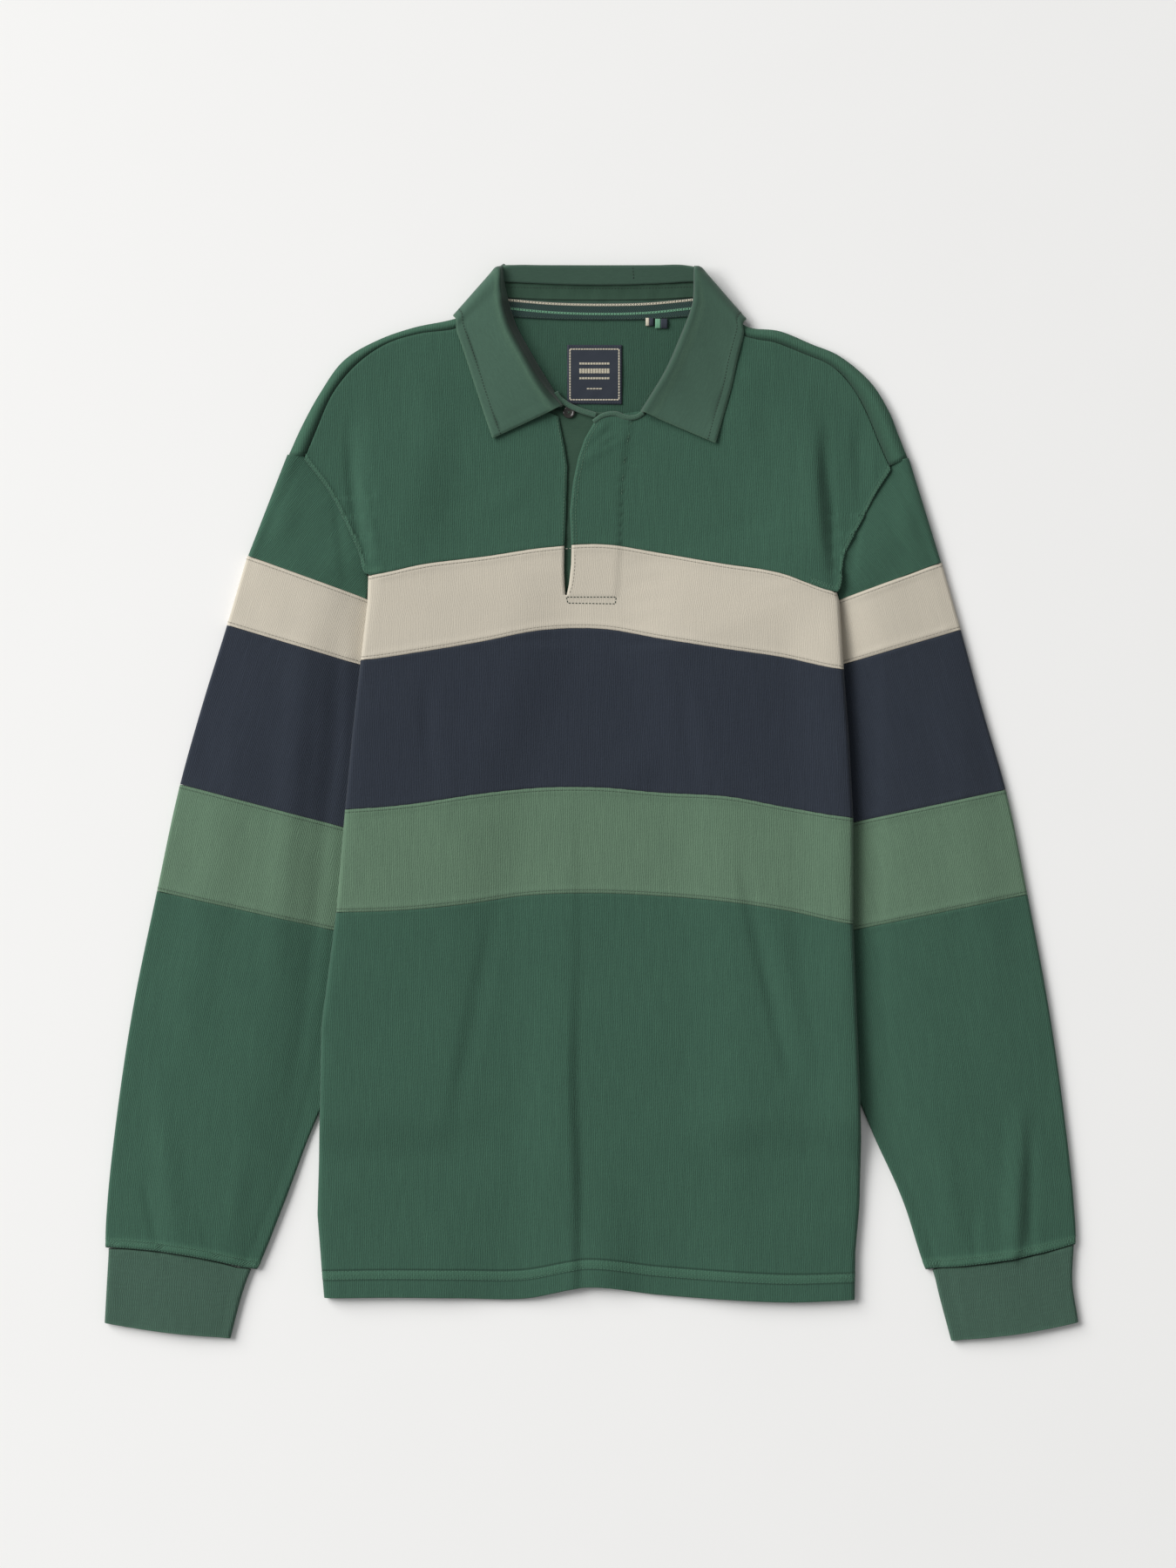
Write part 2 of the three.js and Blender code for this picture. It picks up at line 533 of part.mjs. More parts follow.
// Cap of a sleeve between the armhole and the stone band, turned round the outer fold
function sleeveCap(upperLines, tip, end, line, away) {
  const seam = [line.outer, line.edge];
  const seen = Math.hypot(seam[1][0] - seam[0][0], seam[1][1] - seam[0][1]);
  const shares = [0.93, 0.83, 0.68, 0.5, 0.3, 0.1];
  const armhole = [end, ...upperLines.map((entry) => [entry.base[0] + away[0], entry.base[1] + away[1]])];
  const lowEdge = (share) => {
    const [x, y] = mixPoint(seam[0], seam[1], share);
    return [x, y + SEAM_GAP / 2];
  };
  const half = (SLEEVE_TOP - BACK_REST) / 2;
  const columns = [];
  const add = (top, bottom, zTop, zBottom, puff) => {
    columns.push([0, 0.33, 0.67, 1].map((t) => {
      const z = mix(zTop, zBottom, t) + puff * Math.sin(Math.PI * t);
      return [...mixPoint(top, bottom, t), z];
    }));
  };
  armhole.forEach((top, k) => {
    const z = k === 0 ? 3.2 : frontHeight(...upperLines[k - 1].base);
    add(top, lowEdge(shares[k]), z, sleeveTop(line, shares[k]), k < 2 ? 0 : 0.8);
  });
  [45, 0, -45].forEach((degrees) => {
    const angle = THREE.MathUtils.degToRad(degrees);
    const inset = BACK_REST + half * (1 - Math.cos(angle));
    const z = BACK_REST + half * (1 + Math.sin(angle));
    const top = [tip[0] + inset * Math.sign(-tip[0]), tip[1]];
    add(top, lowEdge(inset / seen), z, z, 0);
  });
  armhole.map((top, k) => [top, shares[k]]).reverse().forEach(([top, share]) => {
    add(top, lowEdge(share), BACK_REST, BACK_REST, 0);
  });
  return clothGeometry(columns, JERSEY);
}

const leftArmhole = [4, 3, 2, 1, 0].map((k) => LEFT_UPPER[k]);
const rightArmhole = [8, 9, 10, 11, 12].map((k) => RIGHT_UPPER[k]);
addNode('sleeve_upper_left',
  sleeveCap(leftArmhole, [-224.5, 254], [-167.8, 158.5], LEFT_SLEEVE.stoneTop, [-0.7, -0.4]), COLOUR.green);
addNode('sleeve_upper_right',
  sleeveCap(rightArmhole, [234, 252], [183.5, 156], RIGHT_SLEEVE.stoneTop, [0.7, -0.4]), COLOUR.green);

// Strip of cloth between two lines of points, both given from one end to the other
function strip(first, second, shares, height, wall) {
  const grid = shares.map((t) => first.map((p, k) => {
    const [x, y] = mixPoint(p, second[k], t);
    return [x, y, height(x, y)];
  }));
  return clothGeometry(grid, wall);
}

// Underlap of the placket below the slit
const UNDERLAP_WALL = 1.4;
const UNDERLAP_HEIGHT = FRONT_REST - PITCH;
addNode('placket_underlap', strip(
  [[-34, 287.3], [-34, 245], [-33, 195], [-33, 150]],
  [[14, 287], [16, 245], [17, 195], [17, 150]],
  [0, 0.5, 1], () => UNDERLAP_HEIGHT, UNDERLAP_WALL), COLOUR.collar);

// Bound neck edge of the front, on both sides of the slit
const BINDING = 1;
addNode('neck_binding_left', strip(
  [[-23.4, 296], [-10, 291.5], [3, 286.5]],
  [[-23.4, 292.6], [-10, 288.3], [3, 283]],
  [0, 1], () => UNDERLAP_HEIGHT + 0.7 + LAYER_GAP + BINDING / 2, BINDING), COLOUR.collar);
addNode('neck_binding_right', strip(
  [[7, 283.5], [18, 287], [28, 288], [37, 290]],
  [[7, 280], [18, 283.3], [28, 284.5], [37, 286.5]],
  [0, 1], (x, y) => frontHeight(x, y) + JERSEY / 2 + LAYER_GAP + BINDING / 2, BINDING), COLOUR.collar);

// Button at the top of the placket, under the left leaf
const BUTTON_RADIUS = 4.4;
const BUTTON_WALL = 2.2;
const button = new THREE.CylinderGeometry(BUTTON_RADIUS, BUTTON_RADIUS, BUTTON_WALL, 20);
button.rotateX(Math.PI / 2);
button.translate(-16, 285.1, UNDERLAP_HEIGHT + UNDERLAP_WALL / 2 + LAYER_GAP + BUTTON_WALL / 2);
addNode('placket_button', button, COLOUR.button, 0.35);

// Point of the collar fall at a line, a share from outer edge to roll, then round the roll
function collarRow(line, outside, outerHeight, rollHeight, curl) {
  const run = Math.hypot(line.roll[0] - line.outer[0], line.roll[1] - line.outer[1]);
  const forward = [(line.roll[0] - line.outer[0]) / run, (line.roll[1] - line.outer[1]) / run];
  const reach = (TWILL / 2 + curl) / run;
  const points = [0, 0.45, 1 - reach].map((t) => {
    return [...mixPoint(line.outer, line.roll, t), mix(outerHeight, rollHeight, smooth(t * 1.1))];
  });
  const start = points[2];
  const offset = (ahead, inward) => [
    start[0] + forward[0] * ahead - outside[0] * inward,
    start[1] + forward[1] * ahead - outside[1] * inward,
    start[2] - outside[2] * inward,
  ];
  points.push(offset(curl * 0.87, curl * 0.5));
  points.push(offset(curl, curl));
  points.push(offset(curl * 0.87, curl * 1.5));
  points.push(offset(-0.2, curl * 2));
  return points;
}

// Rows where the fall turns over the shoulder line from front to back
function collarTurn(turn, degrees) {
  return degrees.map((angle) => {
    const radians = THREE.MathUtils.degToRad(angle);
    const low = TWILL / 2;
    const outerHalf = (7.4 - low) / 2;
    const rollHalf = (LEAF_ROLL - low) / 2;
    const out = (half) => half * (Math.cos(radians) - 1) - TWILL / 2;
    const shifted = (point, half) => [point[0] + turn.away[0] * out(half), point[1] + turn.away[1] * out(half)];
    const line = { outer: shifted(turn.outer, outerHalf), roll: shifted(turn.roll, rollHalf) };
    const outside = [turn.away[0] * Math.cos(radians), turn.away[1] * Math.cos(radians), Math.sin(radians)];
    const outerHeight = low + outerHalf * (1 + Math.sin(radians));
    const rollHeight = low + rollHalf * (1 + Math.sin(radians));
    return collarRow(line, outside, outerHeight, rollHeight, mix(1.7, 1, (1 + Math.sin(radians)) / 2));
  });
}

function collarLeaf(lines) {
  return lines.map((line) => {
    const lying = frontHeight(...line.outer) + JERSEY / 2 + LAYER_GAP + TWILL / 2 + 0.6;
    return collarRow(line, [0, 0, 1], Math.min(lying, 7.4), LEAF_ROLL, 1);
  });
}

const fallRows = [
  ...collarLeaf(LEFT_COLLAR),
  ...collarTurn(LEFT_TURN, [55, 0, -55]),
  ...BACK_COLLAR.map((line) => collarRow(line, [0, 0, -1], TWILL / 2, TWILL / 2, 1.7)),
  ...collarTurn(RIGHT_TURN, [-55, 0, 55]),
  ...collarLeaf(RIGHT_COLLAR),
];
addNode('collar_fall', clothGeometry(fallRows, TWILL), COLOUR.collar);

// Stand of the collar inside the back neck
addNode('collar_stand', strip(
  [[-58, 388.5], [-36, 388.5], [6, 388.5], [48, 388.5], [68, 388.5]],
  [[-60, 369.3], [-38, 369.3], [6, 369.3], [48, 369.3], [70, 369.3]],
  [0, 0.5, 1], () => STAND_TOP, TWILL), COLOUR.collar);

// Tape over the inside neck seam, the two ends of the hanging loop and the label, laid on the back
const laid = (offset) => (x, y) => backHeight(x, y) + JERSEY / 2 + LAYER_GAP + offset;
addNode('neck_tape', strip(
  [[-60, 367], [-30, 366], [6, 366], [42, 366], [68, 367]],
  [[-56, 357], [-30, 355.5], [6, 355], [42, 355.5], [66, 357]],
  [0, 1], laid(TAPE / 2), TAPE), COLOUR.navy);
addNode('loop_end_left', strip([[40, 354.7], [45.5, 354.7]], [[40, 351], [45.5, 351]], [0, 1], laid(0.6), 1.2), COLOUR.cream);
addNode('loop_end_right', strip([[47, 354.7], [56, 354.7]], [[47, 349], [56, 349]], [0, 1], laid(0.6), 1.2), COLOUR.cream);
addNode('neck_label', strip(
  [[-18, 337], [22.5, 337]],
  [[-18, 293.5], [22.5, 293.5]],
  [0, 0.35, 0.7, 1], laid(TAPE / 2), TAPE), COLOUR.navy);

export default model;
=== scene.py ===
import math

import bmesh
import bpy
import numpy as np
from bpy.props import FloatProperty, FloatVectorProperty, PointerProperty
from bpy.types import Operator, Panel, PropertyGroup
from mathutils import Matrix, Vector


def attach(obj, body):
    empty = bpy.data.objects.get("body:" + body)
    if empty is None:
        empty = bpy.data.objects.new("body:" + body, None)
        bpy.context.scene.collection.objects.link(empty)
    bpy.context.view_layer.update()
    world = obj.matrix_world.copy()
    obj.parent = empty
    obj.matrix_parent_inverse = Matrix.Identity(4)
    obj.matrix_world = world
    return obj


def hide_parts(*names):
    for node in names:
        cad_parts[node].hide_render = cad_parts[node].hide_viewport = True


bl_info = {
    "name": "Rugby shirt laid flat",
    "version": (1, 0, 0),
    "blender": (4, 5, 0),
    "location": "3D View > Sidebar > Shirt",
    "description": "Makes the cloth, collar, cuffs, seams and stitches of a rugby shirt laid flat",
    "category": "Object",
}

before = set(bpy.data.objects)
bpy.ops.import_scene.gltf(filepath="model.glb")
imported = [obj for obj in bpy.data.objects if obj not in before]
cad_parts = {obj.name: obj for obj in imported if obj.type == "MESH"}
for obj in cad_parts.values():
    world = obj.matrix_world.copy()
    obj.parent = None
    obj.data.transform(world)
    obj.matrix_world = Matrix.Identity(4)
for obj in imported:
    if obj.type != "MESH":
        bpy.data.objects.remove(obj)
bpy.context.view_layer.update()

# All lengths in these tables are millimetres; the pieces are made in metres.
MM = 0.001

JERSEY_HALF = 0.75      # half of the jersey's wall
LAYER = 1.85            # height of one layer of jersey on another, with its gap
FOLD_REACH = 2.775      # how far the fold at the side of the body reaches out
BACK_RAISED = 4.45      # middle of the back where it lies on both folded parts
FRONT_RAISED = 6.3      # middle of the front there
TWILL_HALF = 0.8        # half of the collar's wall
SLEEVE_TOP = 4.4        # middle of a sleeve's upper side beside its fold
SEAM_GAP = 0.15         # half of the gap between two pieces at a seam
TOPSTITCH = 2.3         # distance of a band's topstitches from its seam
NECK_MIDDLE = 6         # x in the middle of the neck
SLIT_FOOT = 153         # y at the foot of the placket slit
SLIT_FOOT_EDGES = (-19.2, -18.2)
LEFT_CORNER, RIGHT_CORNER = 167, 155    # y of the corners where the stone band meets both armholes

SEAMS = {
    "stone_top": (167, 175.5, 181, 187.5, 190, 183.5, 176, 169, 154.5),
    "stone_bottom": (105, 111, 118.5, 127, 128, 120.5, 113.5, 107, 98),
    "navy_bottom": (-4.5, -1, 6, 11, 11.5, 7.5, 5, -3.5, -10.5),
    "sage_bottom": (-80, -78.5, -74, -67.5, -66, -68, -72, -79, -88.5),
    "hem": (-363.5, -363, -363.5, -364, -355.5, -361, -364.5, -366.5, -365),
}
LEFT_EDGE = [(180, -162.5), (167, -164), (148, -164.5), (105, -169.5), (52, -175.5), (-5, -181), (-80, -187.5),
             (-165, -198.5), (-222, -199.5), (-268, -200.5), (-302, -201.5), (-341, -198.5), (-364, -196.5)]
RIGHT_EDGE = [(174, 178), (155, 180), (148, 182), (99, 185), (46, 189), (-10, 192), (-88, 192), (-165, 195),
              (-212, 197), (-248, 198), (-295, 197), (-330, 194), (-365, 193.5)]
LEFT_FLAP = [(167, -158), (142, -111.5), (113, -58), (14, -95.5), (-82, -107), (-197, -114.5), (-364, -118.5)]
RIGHT_FLAP = [(155, 174), (134, 122), (113, 68), (4, 107), (-101, 118.5), (-210, 119.5), (-364, 116)]
LEFT_CREASE = [(276, -178.5), (231, -176), (214, -174), (196, -171.5), (171, -164)]
RIGHT_CREASE = [(270, 173.5), (233, 173.5), (202, 175.5), (171, 178.5)]

# Lines of the upper body: seam at the shoulder or neck, fold of the shoulder or back neck, base
LEFT_UPPER = [
    ((-209.8, 255.4), (-223.4, 256.8), (-211, 252), 1), ((-202, 274.5), (-214, 276.5), (-198, 236), 1),
    ((-189.5, 302), (-199.5, 302.5), (-186, 217), 1), ((-174.5, 320.5), (-182.5, 326), (-177.5, 199), 1),
    ((-150.5, 337.5), (-155.5, 342), (-170, 182), 1), ((-126, 345), (-130, 350.5), (-165.5, 168.5), 1),
    ((-102.5, 348), (-104.5, 355.5), (-153, 171), 1), ((-87, 354), (-88.5, 360.5), (-130.5, 174), 1),
    ((-78.5, 337.5), (-66.5, 367), (-102, 178), 0), ((-64.5, 313.5), (-47.5, 368.5), (-76, 181.5), 0),
    ((-45.5, 295.5), (-28, 369), (-49.5, 185.5), 0), ((-24.5, 284), (-11, 369), (-20.5, 190), 0),
]
RIGHT_UPPER = [
    ((6, 283), (7, 369), (-13, 190), 0), ((58, 294.5), (36, 369), (23, 189.5), 0),
    ((77.5, 308.5), (58, 368.5), (52, 183.5), 0), ((91.5, 331), (81.5, 368), (80.5, 178.5), 0),
    ((100.5, 351.5), (102, 359.5), (109.5, 173.5), 1), ((114, 342.5), (115, 350.5), (141.5, 168.5), 1),
    ((137.5, 337.5), (139, 347.5), (167, 163), 1), ((154, 331), (161.5, 338.5), (180, 158), 1),
    ((178.5, 319.5), (182.5, 329.5), (184.5, 179), 1), ((192, 304.5), (205.5, 310), (190.5, 192.5), 1),
    ((202, 286.5), (219, 288.5), (199, 208.5), 1), ((210.5, 266), (225.5, 272.5), (208.5, 227), 1),
    ((218.4, 247.6), (233.2, 254.4), (220, 244.5), 1),
]

# Lines across each sleeve: outer fold, crossing with the body's fold, inner fold, sag, height at the crossing
LEFT_SLEEVE = {
    "stone_top": (-253, 182, -165, 150, -65, 113, 0, 2.6),
    "stone_bottom": (-268, 131, -171, 102, -79, 74, 0, 2.6),
    "navy_middle": (-286, 73, -177, 42, -96, 20.5, 0, 2.6),
    "sage_top": (-302.5, 14, -183, -17.5, -118.5, -32.5, 0, 2.6),
    "sage_bottom": (-319.5, -64.5, -189, -93.5, -146.5, -102, 0, 2.6),
    "middle": (-337.5, -152.5, -199, -171.5, -175.5, -173.5, 0, 2.6),
    "clear": (-349, -229, -215.5, -241.5, -206.5, -242, 0, 2.8),
    "lower": (-356, -293, -236, -296.5, -227, -296.5, 1, 4.4),
    "cuff_top": (-357.4, -326.6, -256, -341.4, -245.8, -342.4, 3, 4.4),
    "cuff_middle": (-356.5, -354.5, -266, -361, -257, -361, -2, 4.4),
    "cuff_end": (-358, -382, -273, -392.6, -265.5, -393.5, -1.5, 4.4),
}
RIGHT_SLEEVE = {
    "stone_top": (257.5, 177, 181, 149, 72, 111.5, 0, 2.6),
    "stone_bottom": (271.5, 127.5, 186.5, 102.5, 86, 74.5, 0, 2.6),
    "navy_middle": (287.5, 68.5, 191, 44, 104.5, 22, 0, 2.6),
    "sage_top": (304.5, 10, 193, -14, 127.5, -32, 0, 2.6),
    "sage_bottom": (320.5, -67, 193.5, -93, 153, -101, 0, 2.6),
    "middle": (336.5, -152.5, 196.5, -171.5, 178.5, -173, 0, 2.6),
    "clear": (347.5, -229, 215, -241.5, 206.5, -242, 0, 2.8),
    "lower": (354.5, -293, 239.5, -296.5, 230.5, -296.5, -1, 4.4),
    "cuff_top": (355.8, -324, 255.5, -341.6, 245.6, -342.6, -3, 4.4),
    "cuff_middle": (353.5, -350.5, 265, -363.5, 256, -363.5, -3, 4.4),
    "cuff_end": (358, -381.5, 273, -394.3, 264.5, -395.3, -2, 4.4),
}

# The cuffs start a little narrower than the sleeve ends that are gathered into them
CUFF_START = {"left": (-355, -327.3, -260.4, -341.2, -250.2, -342.4, 3, 4.4),
              "right": (354.6, -324.6, 260.6, -341.2, 250.6, -342.6, -3, 4.4)}

LEFT_COLLAR = [((-72.5, 268), (-21, 292)), ((-78, 284), (-34.5, 310)), ((-86, 308.5), (-46.5, 330)),
               ((-94, 333), (-59, 354.5)), ((-99, 348), (-64.5, 377.5))]
LEFT_TURN = ((-102, 358.5), (-68.5, 395), (-0.74, 0.67))
BACK_COLLAR = [((-88, 348), (-56, 395)), ((-62, 338), (-36, 395)), ((6, 334), (6, 395)), ((74, 338), (48, 395)),
               ((100, 346), (67, 395))]
RIGHT_TURN = ((114, 356), (79.5, 394), (0.74, 0.67))
RIGHT_COLLAR = [((111.5, 345), (75, 370)), ((107, 326.5), (65.5, 340.5)), ((102, 303.5), (54.5, 316)),
                ((96.5, 284), (45.5, 301)), ((91, 264.5), (37, 287.5))]

# Edges of the placket slit: height, x
FLY_EDGE = [(284.8, 5), (280.3, 2.6), (266.9, -5.1), (253.4, -9.6), (236.2, -13.2), (214.4, -15.6), (190, -14.6),
            (175.4, -15), (160.6, -16.6), (153, -18.2)]
SLIT_EDGE = [(284, -24.5), (275.8, -23), (261, -20), (247, -18), (214.4, -19), (190, -20), (172.8, -20.2),
             (160.6, -19.8), (153, -19.2)]
FLY_STITCH = [(280, 29.5), (261, 25.6), (240, 23), (221, 21.8), (190, 21), (160, 19.2), (151.7, 18)]

# Folds of the front and back: points (x, y, height), width on the left of the run, width on its right
FRONT_FOLDS = [
    ([(-178.6, 285, 0), (-177, 245, -1.0), (-174, 214, -1.1), (-166, 182, -0.4)], 8, 7),
    ([(-170, 280, 0), (-167, 236, 0.9), (-163, 205, 0.9), (-156, 175, 0)], 6, 12),
    ([(197.8, 292, 0), (196.5, 262, -1.0), (197.5, 235, -0.7), (201, 215, 0)], 11, 9),
    ([(165, 285, 0), (164, 240, 1.2), (166, 200, 1.0), (168, 170, 0)], 7, 16),
    ([(172, 275, 0), (172.5, 240, -1.0), (175.4, 202, -1.0), (178, 172, -0.4)], 8, 9),
    ([(-17, 30, 0), (-16, -34, 0.5), (-15.5, -114, 0.9), (-18, -200, 2.2), (-15.4, -270, 2.7), (-15, -345, 2.3),
      (-15, -372, 1.9)], 8, 46),
    ([(7, -382, 3.6), (7, -335, 2.6), (6, -285, 1.0), (5, -245, 0)], 32, 34),
    ([(30, 262, 0), (14, 268, 0.9), (-4, 252, 0.5), (-9, 246, 0)], 8, 6),
    ([(21, 271, 0), (11, 264, -0.8), (1, 257, 0)], 4, 4),
    ([(14, 283, 0), (6, 274, 0.9), (-3, 262, 0)], 5, 6),
    ([(120, 330, 0), (112, 285, 0.8), (118, 240, 0.5), (126, 205, 0)], 18, 26),
    ([(-130, 325, 0), (-118, 275, 0.9), (-126, 225, 0.6), (-134, 195, 0)], 26, 20),
    ([(-40, 240, 0), (-62, 222, 0.5), (-96, 214, 0)], 14, 14),
    ([(60, 60, 0), (30, 20, 0.6), (-20, 0, 0)], 20, 24),
    ([(-120, 70, 0), (-105, 20, 0.5), (-112, -60, 0)], 18, 22),
    ([(106, -30, 0), (115, -75, -0.9), (128, -130, -1.3), (141, -186, -0.7), (147, -214, 0)], 12, 7),
    ([(132, -50, 0), (140, -110, 0.8), (156, -180, 0.6), (162, -230, 0)], 12, 16),
    ([(98, -215, 0), (104, -270, 0.6), (92, -335, 0)], 26, 22),
    ([(-68, -60, 0), (-78, -115, -0.8), (-93, -190, -1.0), (-106, -262, 0)], 13, 10),
    ([(-52, -130, 0), (-66, -210, 0.6), (-72, -290, 0)], 16, 22),
    ([(-118, 104, 0), (-121, 60, -0.8), (-116, 6, 0)], 10, 10),
    ([(66, 112, 0), (70, 60, -0.7), (76, 0, -0.3), (80, -30, 0)], 10, 13),
]
BACK_FOLDS = [
    ([(20, 120, 0), (12, 20, 0.5), (16, -120, 0.7), (4, -300, 0)], 30, 24),
    ([(-60, 300, 0), (-40, 240, 0.5), (-52, 190, 0)], 20, 18),
]
SLEEVE_FOLDS = {
    "left": [
        ([(-186, 150, 0), (-188, 70, -1.1), (-190, 27, -1.2), (-196, -18, -1.0), (-204, -100, -0.9),
          (-213, -178, -0.7), (-225, -238, 0)], 10, 13),
        ([(-204, 160, 0), (-213, 90, 1.1), (-217, 40, 1.3), (-222, -10, 1.2), (-229, -90, 0.8),
          (-234, -160, 0)], 15, 17),
        ([(-252, 120, 0), (-262, 40, 0.9), (-276, -40, 1.2), (-292, -130, 1.0), (-302, -210, 0)], 26, 24),
        ([(-331, -268, 0), (-327, -288, -0.9), (-320, -318, -0.9), (-317, -330, -0.4)], 6, 5),
        ([(-289, -300, 0), (-283, -318, -0.7), (-276, -334, -0.3)], 5, 5),
        ([(-322, -190, 0), (-313, -250, 1.2), (-306, -315, 0.6), (-304, -334, 0)], 15, 13),
        ([(-252, -240, 0), (-262, -290, 0.8), (-268, -332, 0)], 13, 12),
    ],
    "right": [
        ([(205, 140, 0), (208, 60, -0.5), (208, -10, -0.6), (210, -90, -0.6), (214, -170, -0.5),
          (224, -235, 0)], 9, 12),
        ([(262, 130, 0), (270, 50, 0.9), (283, -40, 1.1), (294, -130, 0.9), (300, -200, 0)], 24, 26),
        ([(317, -215, 0), (315, -262, 1.9), (313, -305, 2.4), (312, -330, 1.6)], 5, 15),
        ([(323, -228, 0), (322.5, -275, -1.0), (321.5, -318, -1.2), (323, -330, -0.6)], 7, 4),
        ([(282, -285, 0), (280, -318, -0.8), (284, -338, -0.3)], 5, 6),
        ([(255, -235, 0), (262, -285, 0.9), (266, -335, 0.2)], 13, 13),
    ],
}
CAP_FOLDS = {
    "left": [([(-189, 232, 0), (-187, 212, -0.7), (-182, 171, -0.5), (-181, 160, 0)], 8, 6),
             ([(-224, 236, 0), (-226, 206, 0.9), (-236, 180, 0)], 14, 12)],
    "right": [([(199, 226, 0), (196, 206, -0.7), (191, 172, -0.5), (189, 160, 0)], 6, 8),
              ([(231, 232, 0), (234, 204, 0.9), (243, 176, 0)], 12, 14)],
}


def srgb(red, green, blue):
    """Linear colour of a colour read from a screen, 0 to 255."""
    return tuple(c / 3294.6 if c <= 10.31 else ((c / 255 + 0.055) / 1.055) ** 2.4 for c in (red, green, blue))


def length_property(name, description, default):
    return FloatProperty(name=name, description=description, default=default, min=0, precision=5,
                         subtype="DISTANCE", unit="LENGTH")


def colour_property(name, description, red, green, blue):
    return FloatVectorProperty(name=name, description=description, default=srgb(red, green, blue), size=3,
                               min=0, max=1, subtype="COLOR")


class ShirtSizes(PropertyGroup):
    jersey: length_property("Jersey", "Thickness of the knitted body and sleeves", 0.0015)
    twill: length_property("Twill", "Thickness of the collar", 0.0016)
    rib: length_property("Rib", "Thickness of the cuffs", 0.0018)
    wale: length_property("Wale", "Width of one wale of the jersey", 0.0011)
    rib_wale: length_property("Rib wale", "Width of one wale of the cuffs", 0.0013)
    thread: length_property("Thread", "Thickness of the sewing thread", 0.0005)
    stitch: length_property("Stitch", "Length of one topstitch with its gap", 0.0027)
    creasing: FloatProperty(name="Creasing", description="How strong the laid folds are", default=1.25, min=0, max=2)


class ShirtColours(PropertyGroup):
    green: colour_property("Green jersey", "Upper body, lower body and sleeves", 57, 90, 74)
    collar: colour_property("Collar", "Twill of the collar", 65, 93, 78)
    cuff: colour_property("Cuff", "Rib of the cuffs", 67, 94, 80)
    stone: colour_property("Stone band", "Palest band", 197, 189, 173)
    navy: colour_property("Navy band", "Darkest band, the tape and the label", 43, 49, 59)
    sage: colour_property("Sage band", "Lighter green band", 94, 120, 98)
    cream: colour_property("Cream thread", "Upper line of the tape and the label's frame", 206, 198, 178)
    mint: colour_property("Mint thread", "Lower line of the tape", 108, 158, 128)
    thread: colour_property("Sewing thread", "Stitches on the green cloth", 58, 84, 68)
    button: colour_property("Button", "Shell of the placket's button", 46, 44, 40)
    # A darker copy of the collar twill: painted shade for the underlap and the stand, which lie in shadow
    shaded_twill: colour_property("Facing", "Smooth twill of the underlap and the stand", 51, 77, 62)
    paper: colour_property("Paper", "Floor under the shirt", 243, 242, 240)


def sizes():
    return bpy.context.scene.shirt_sizes


def colours():
    return bpy.context.scene.shirt_colours


# Shapes in plan and in height

def mix(a, b, t):
    return a + (b - a) * t


def smooth(t):
    t = np.clip(t, 0, 1)
    return t * t * (3 - 2 * t)


def fading(t):
    """1 where smooth is 0, down to 0 where smooth is 1."""
    return 1 - smooth(t)


def read(table, y):
    """Second column of a table at heights in its first column."""
    rows = sorted(table)
    return np.interp(y, [row[0] for row in rows], [row[1] for row in rows])


def seam_height(name, share):
    """Height of a seam across the body at a share of the body's width."""
    values = np.array(SEAMS[name], float)
    at = np.clip(share, 0, 1) * (len(values) - 1)
    i = np.minimum(np.floor(at).astype(int), len(values) - 2)
    t = at - i
    a, b, c, d = (values[np.clip(i + k, 0, len(values) - 1)] for k in (-1, 0, 1, 2))
    return 0.5 * (2 * b + (c - a) * t + (2 * a - 5 * b + 4 * c - d) * t ** 2 + (3 * b - a - 3 * c + d) * t ** 3)


def through(stations, values, at):
    """Smooth curve through rows of values that stand at the stations."""
    s, p, at = np.asarray(stations, float), np.asarray(values, float), np.asarray(at, float)
    flat = p.reshape(len(p), -1)
    step = np.diff(s)[:, None]
    slope = np.diff(flat, axis=0) / step
    tangent = np.empty_like(flat)
    tangent[0], tangent[-1] = slope[0], slope[-1]
    tangent[1:-1] = (slope[1:] * step[:-1] + slope[:-1] * step[1:]) / (step[1:] + step[:-1])
    i = np.clip(np.searchsorted(s, at, side="right") - 1, 0, len(s) - 2)
    h = step[i]
    t = np.clip((at - s[i])[:, None] / h, 0, 1)
    out = ((2 * t ** 3 - 3 * t ** 2 + 1) * flat[i] + (t ** 3 - 2 * t ** 2 + t) * h * tangent[i]
           + (3 * t ** 2 - 2 * t ** 3) * flat[i + 1] + (t ** 3 - t ** 2) * h * tangent[i + 1])
    return out.reshape(len(at), *p.shape[1:])


def steps(length, gap, close=(0.5, 1.0, 1.6, 2.2, 2.8, 3.6, 4.8, 6.4, 8.6)):
    """Stations from 0 to length, closer together near both ends."""
    near = [c for c in close if c < length / 2 - gap / 2]
    start = near[-1] if near else 0
    count = max(1, int(round((length - 2 * start) / gap)))
    middle = np.linspace(start, length - start, count + 1)
    return np.array(sorted({0.0, *near, *middle.tolist(), *[length - c for c in near], float(length)}))


def run_along(points):
    """Distance of each point of a line from its first one."""
    return np.concatenate([[0], np.cumsum(np.linalg.norm(np.diff(points, axis=0), axis=1))])


def mean_run(grid):
    """Mean distance of each row of a grid from its first one."""
    return np.concatenate([[0], np.cumsum(np.linalg.norm(np.diff(grid, axis=0), axis=2).mean(axis=1))])


def refine(grid, rows, columns=None, gap=1):
    """The grid of points with smooth rows and columns at these stations, or with columns at about this gap."""
    down, along = mean_run(grid), mean_run(grid.transpose(1, 0, 2))
    if columns is None:
        columns = np.linspace(0, along[-1], max(2, int(along[-1] / gap)) + 1)
    fine = through(down, grid, rows)
    return through(along, fine.transpose(1, 0, 2), columns).transpose(1, 0, 2)


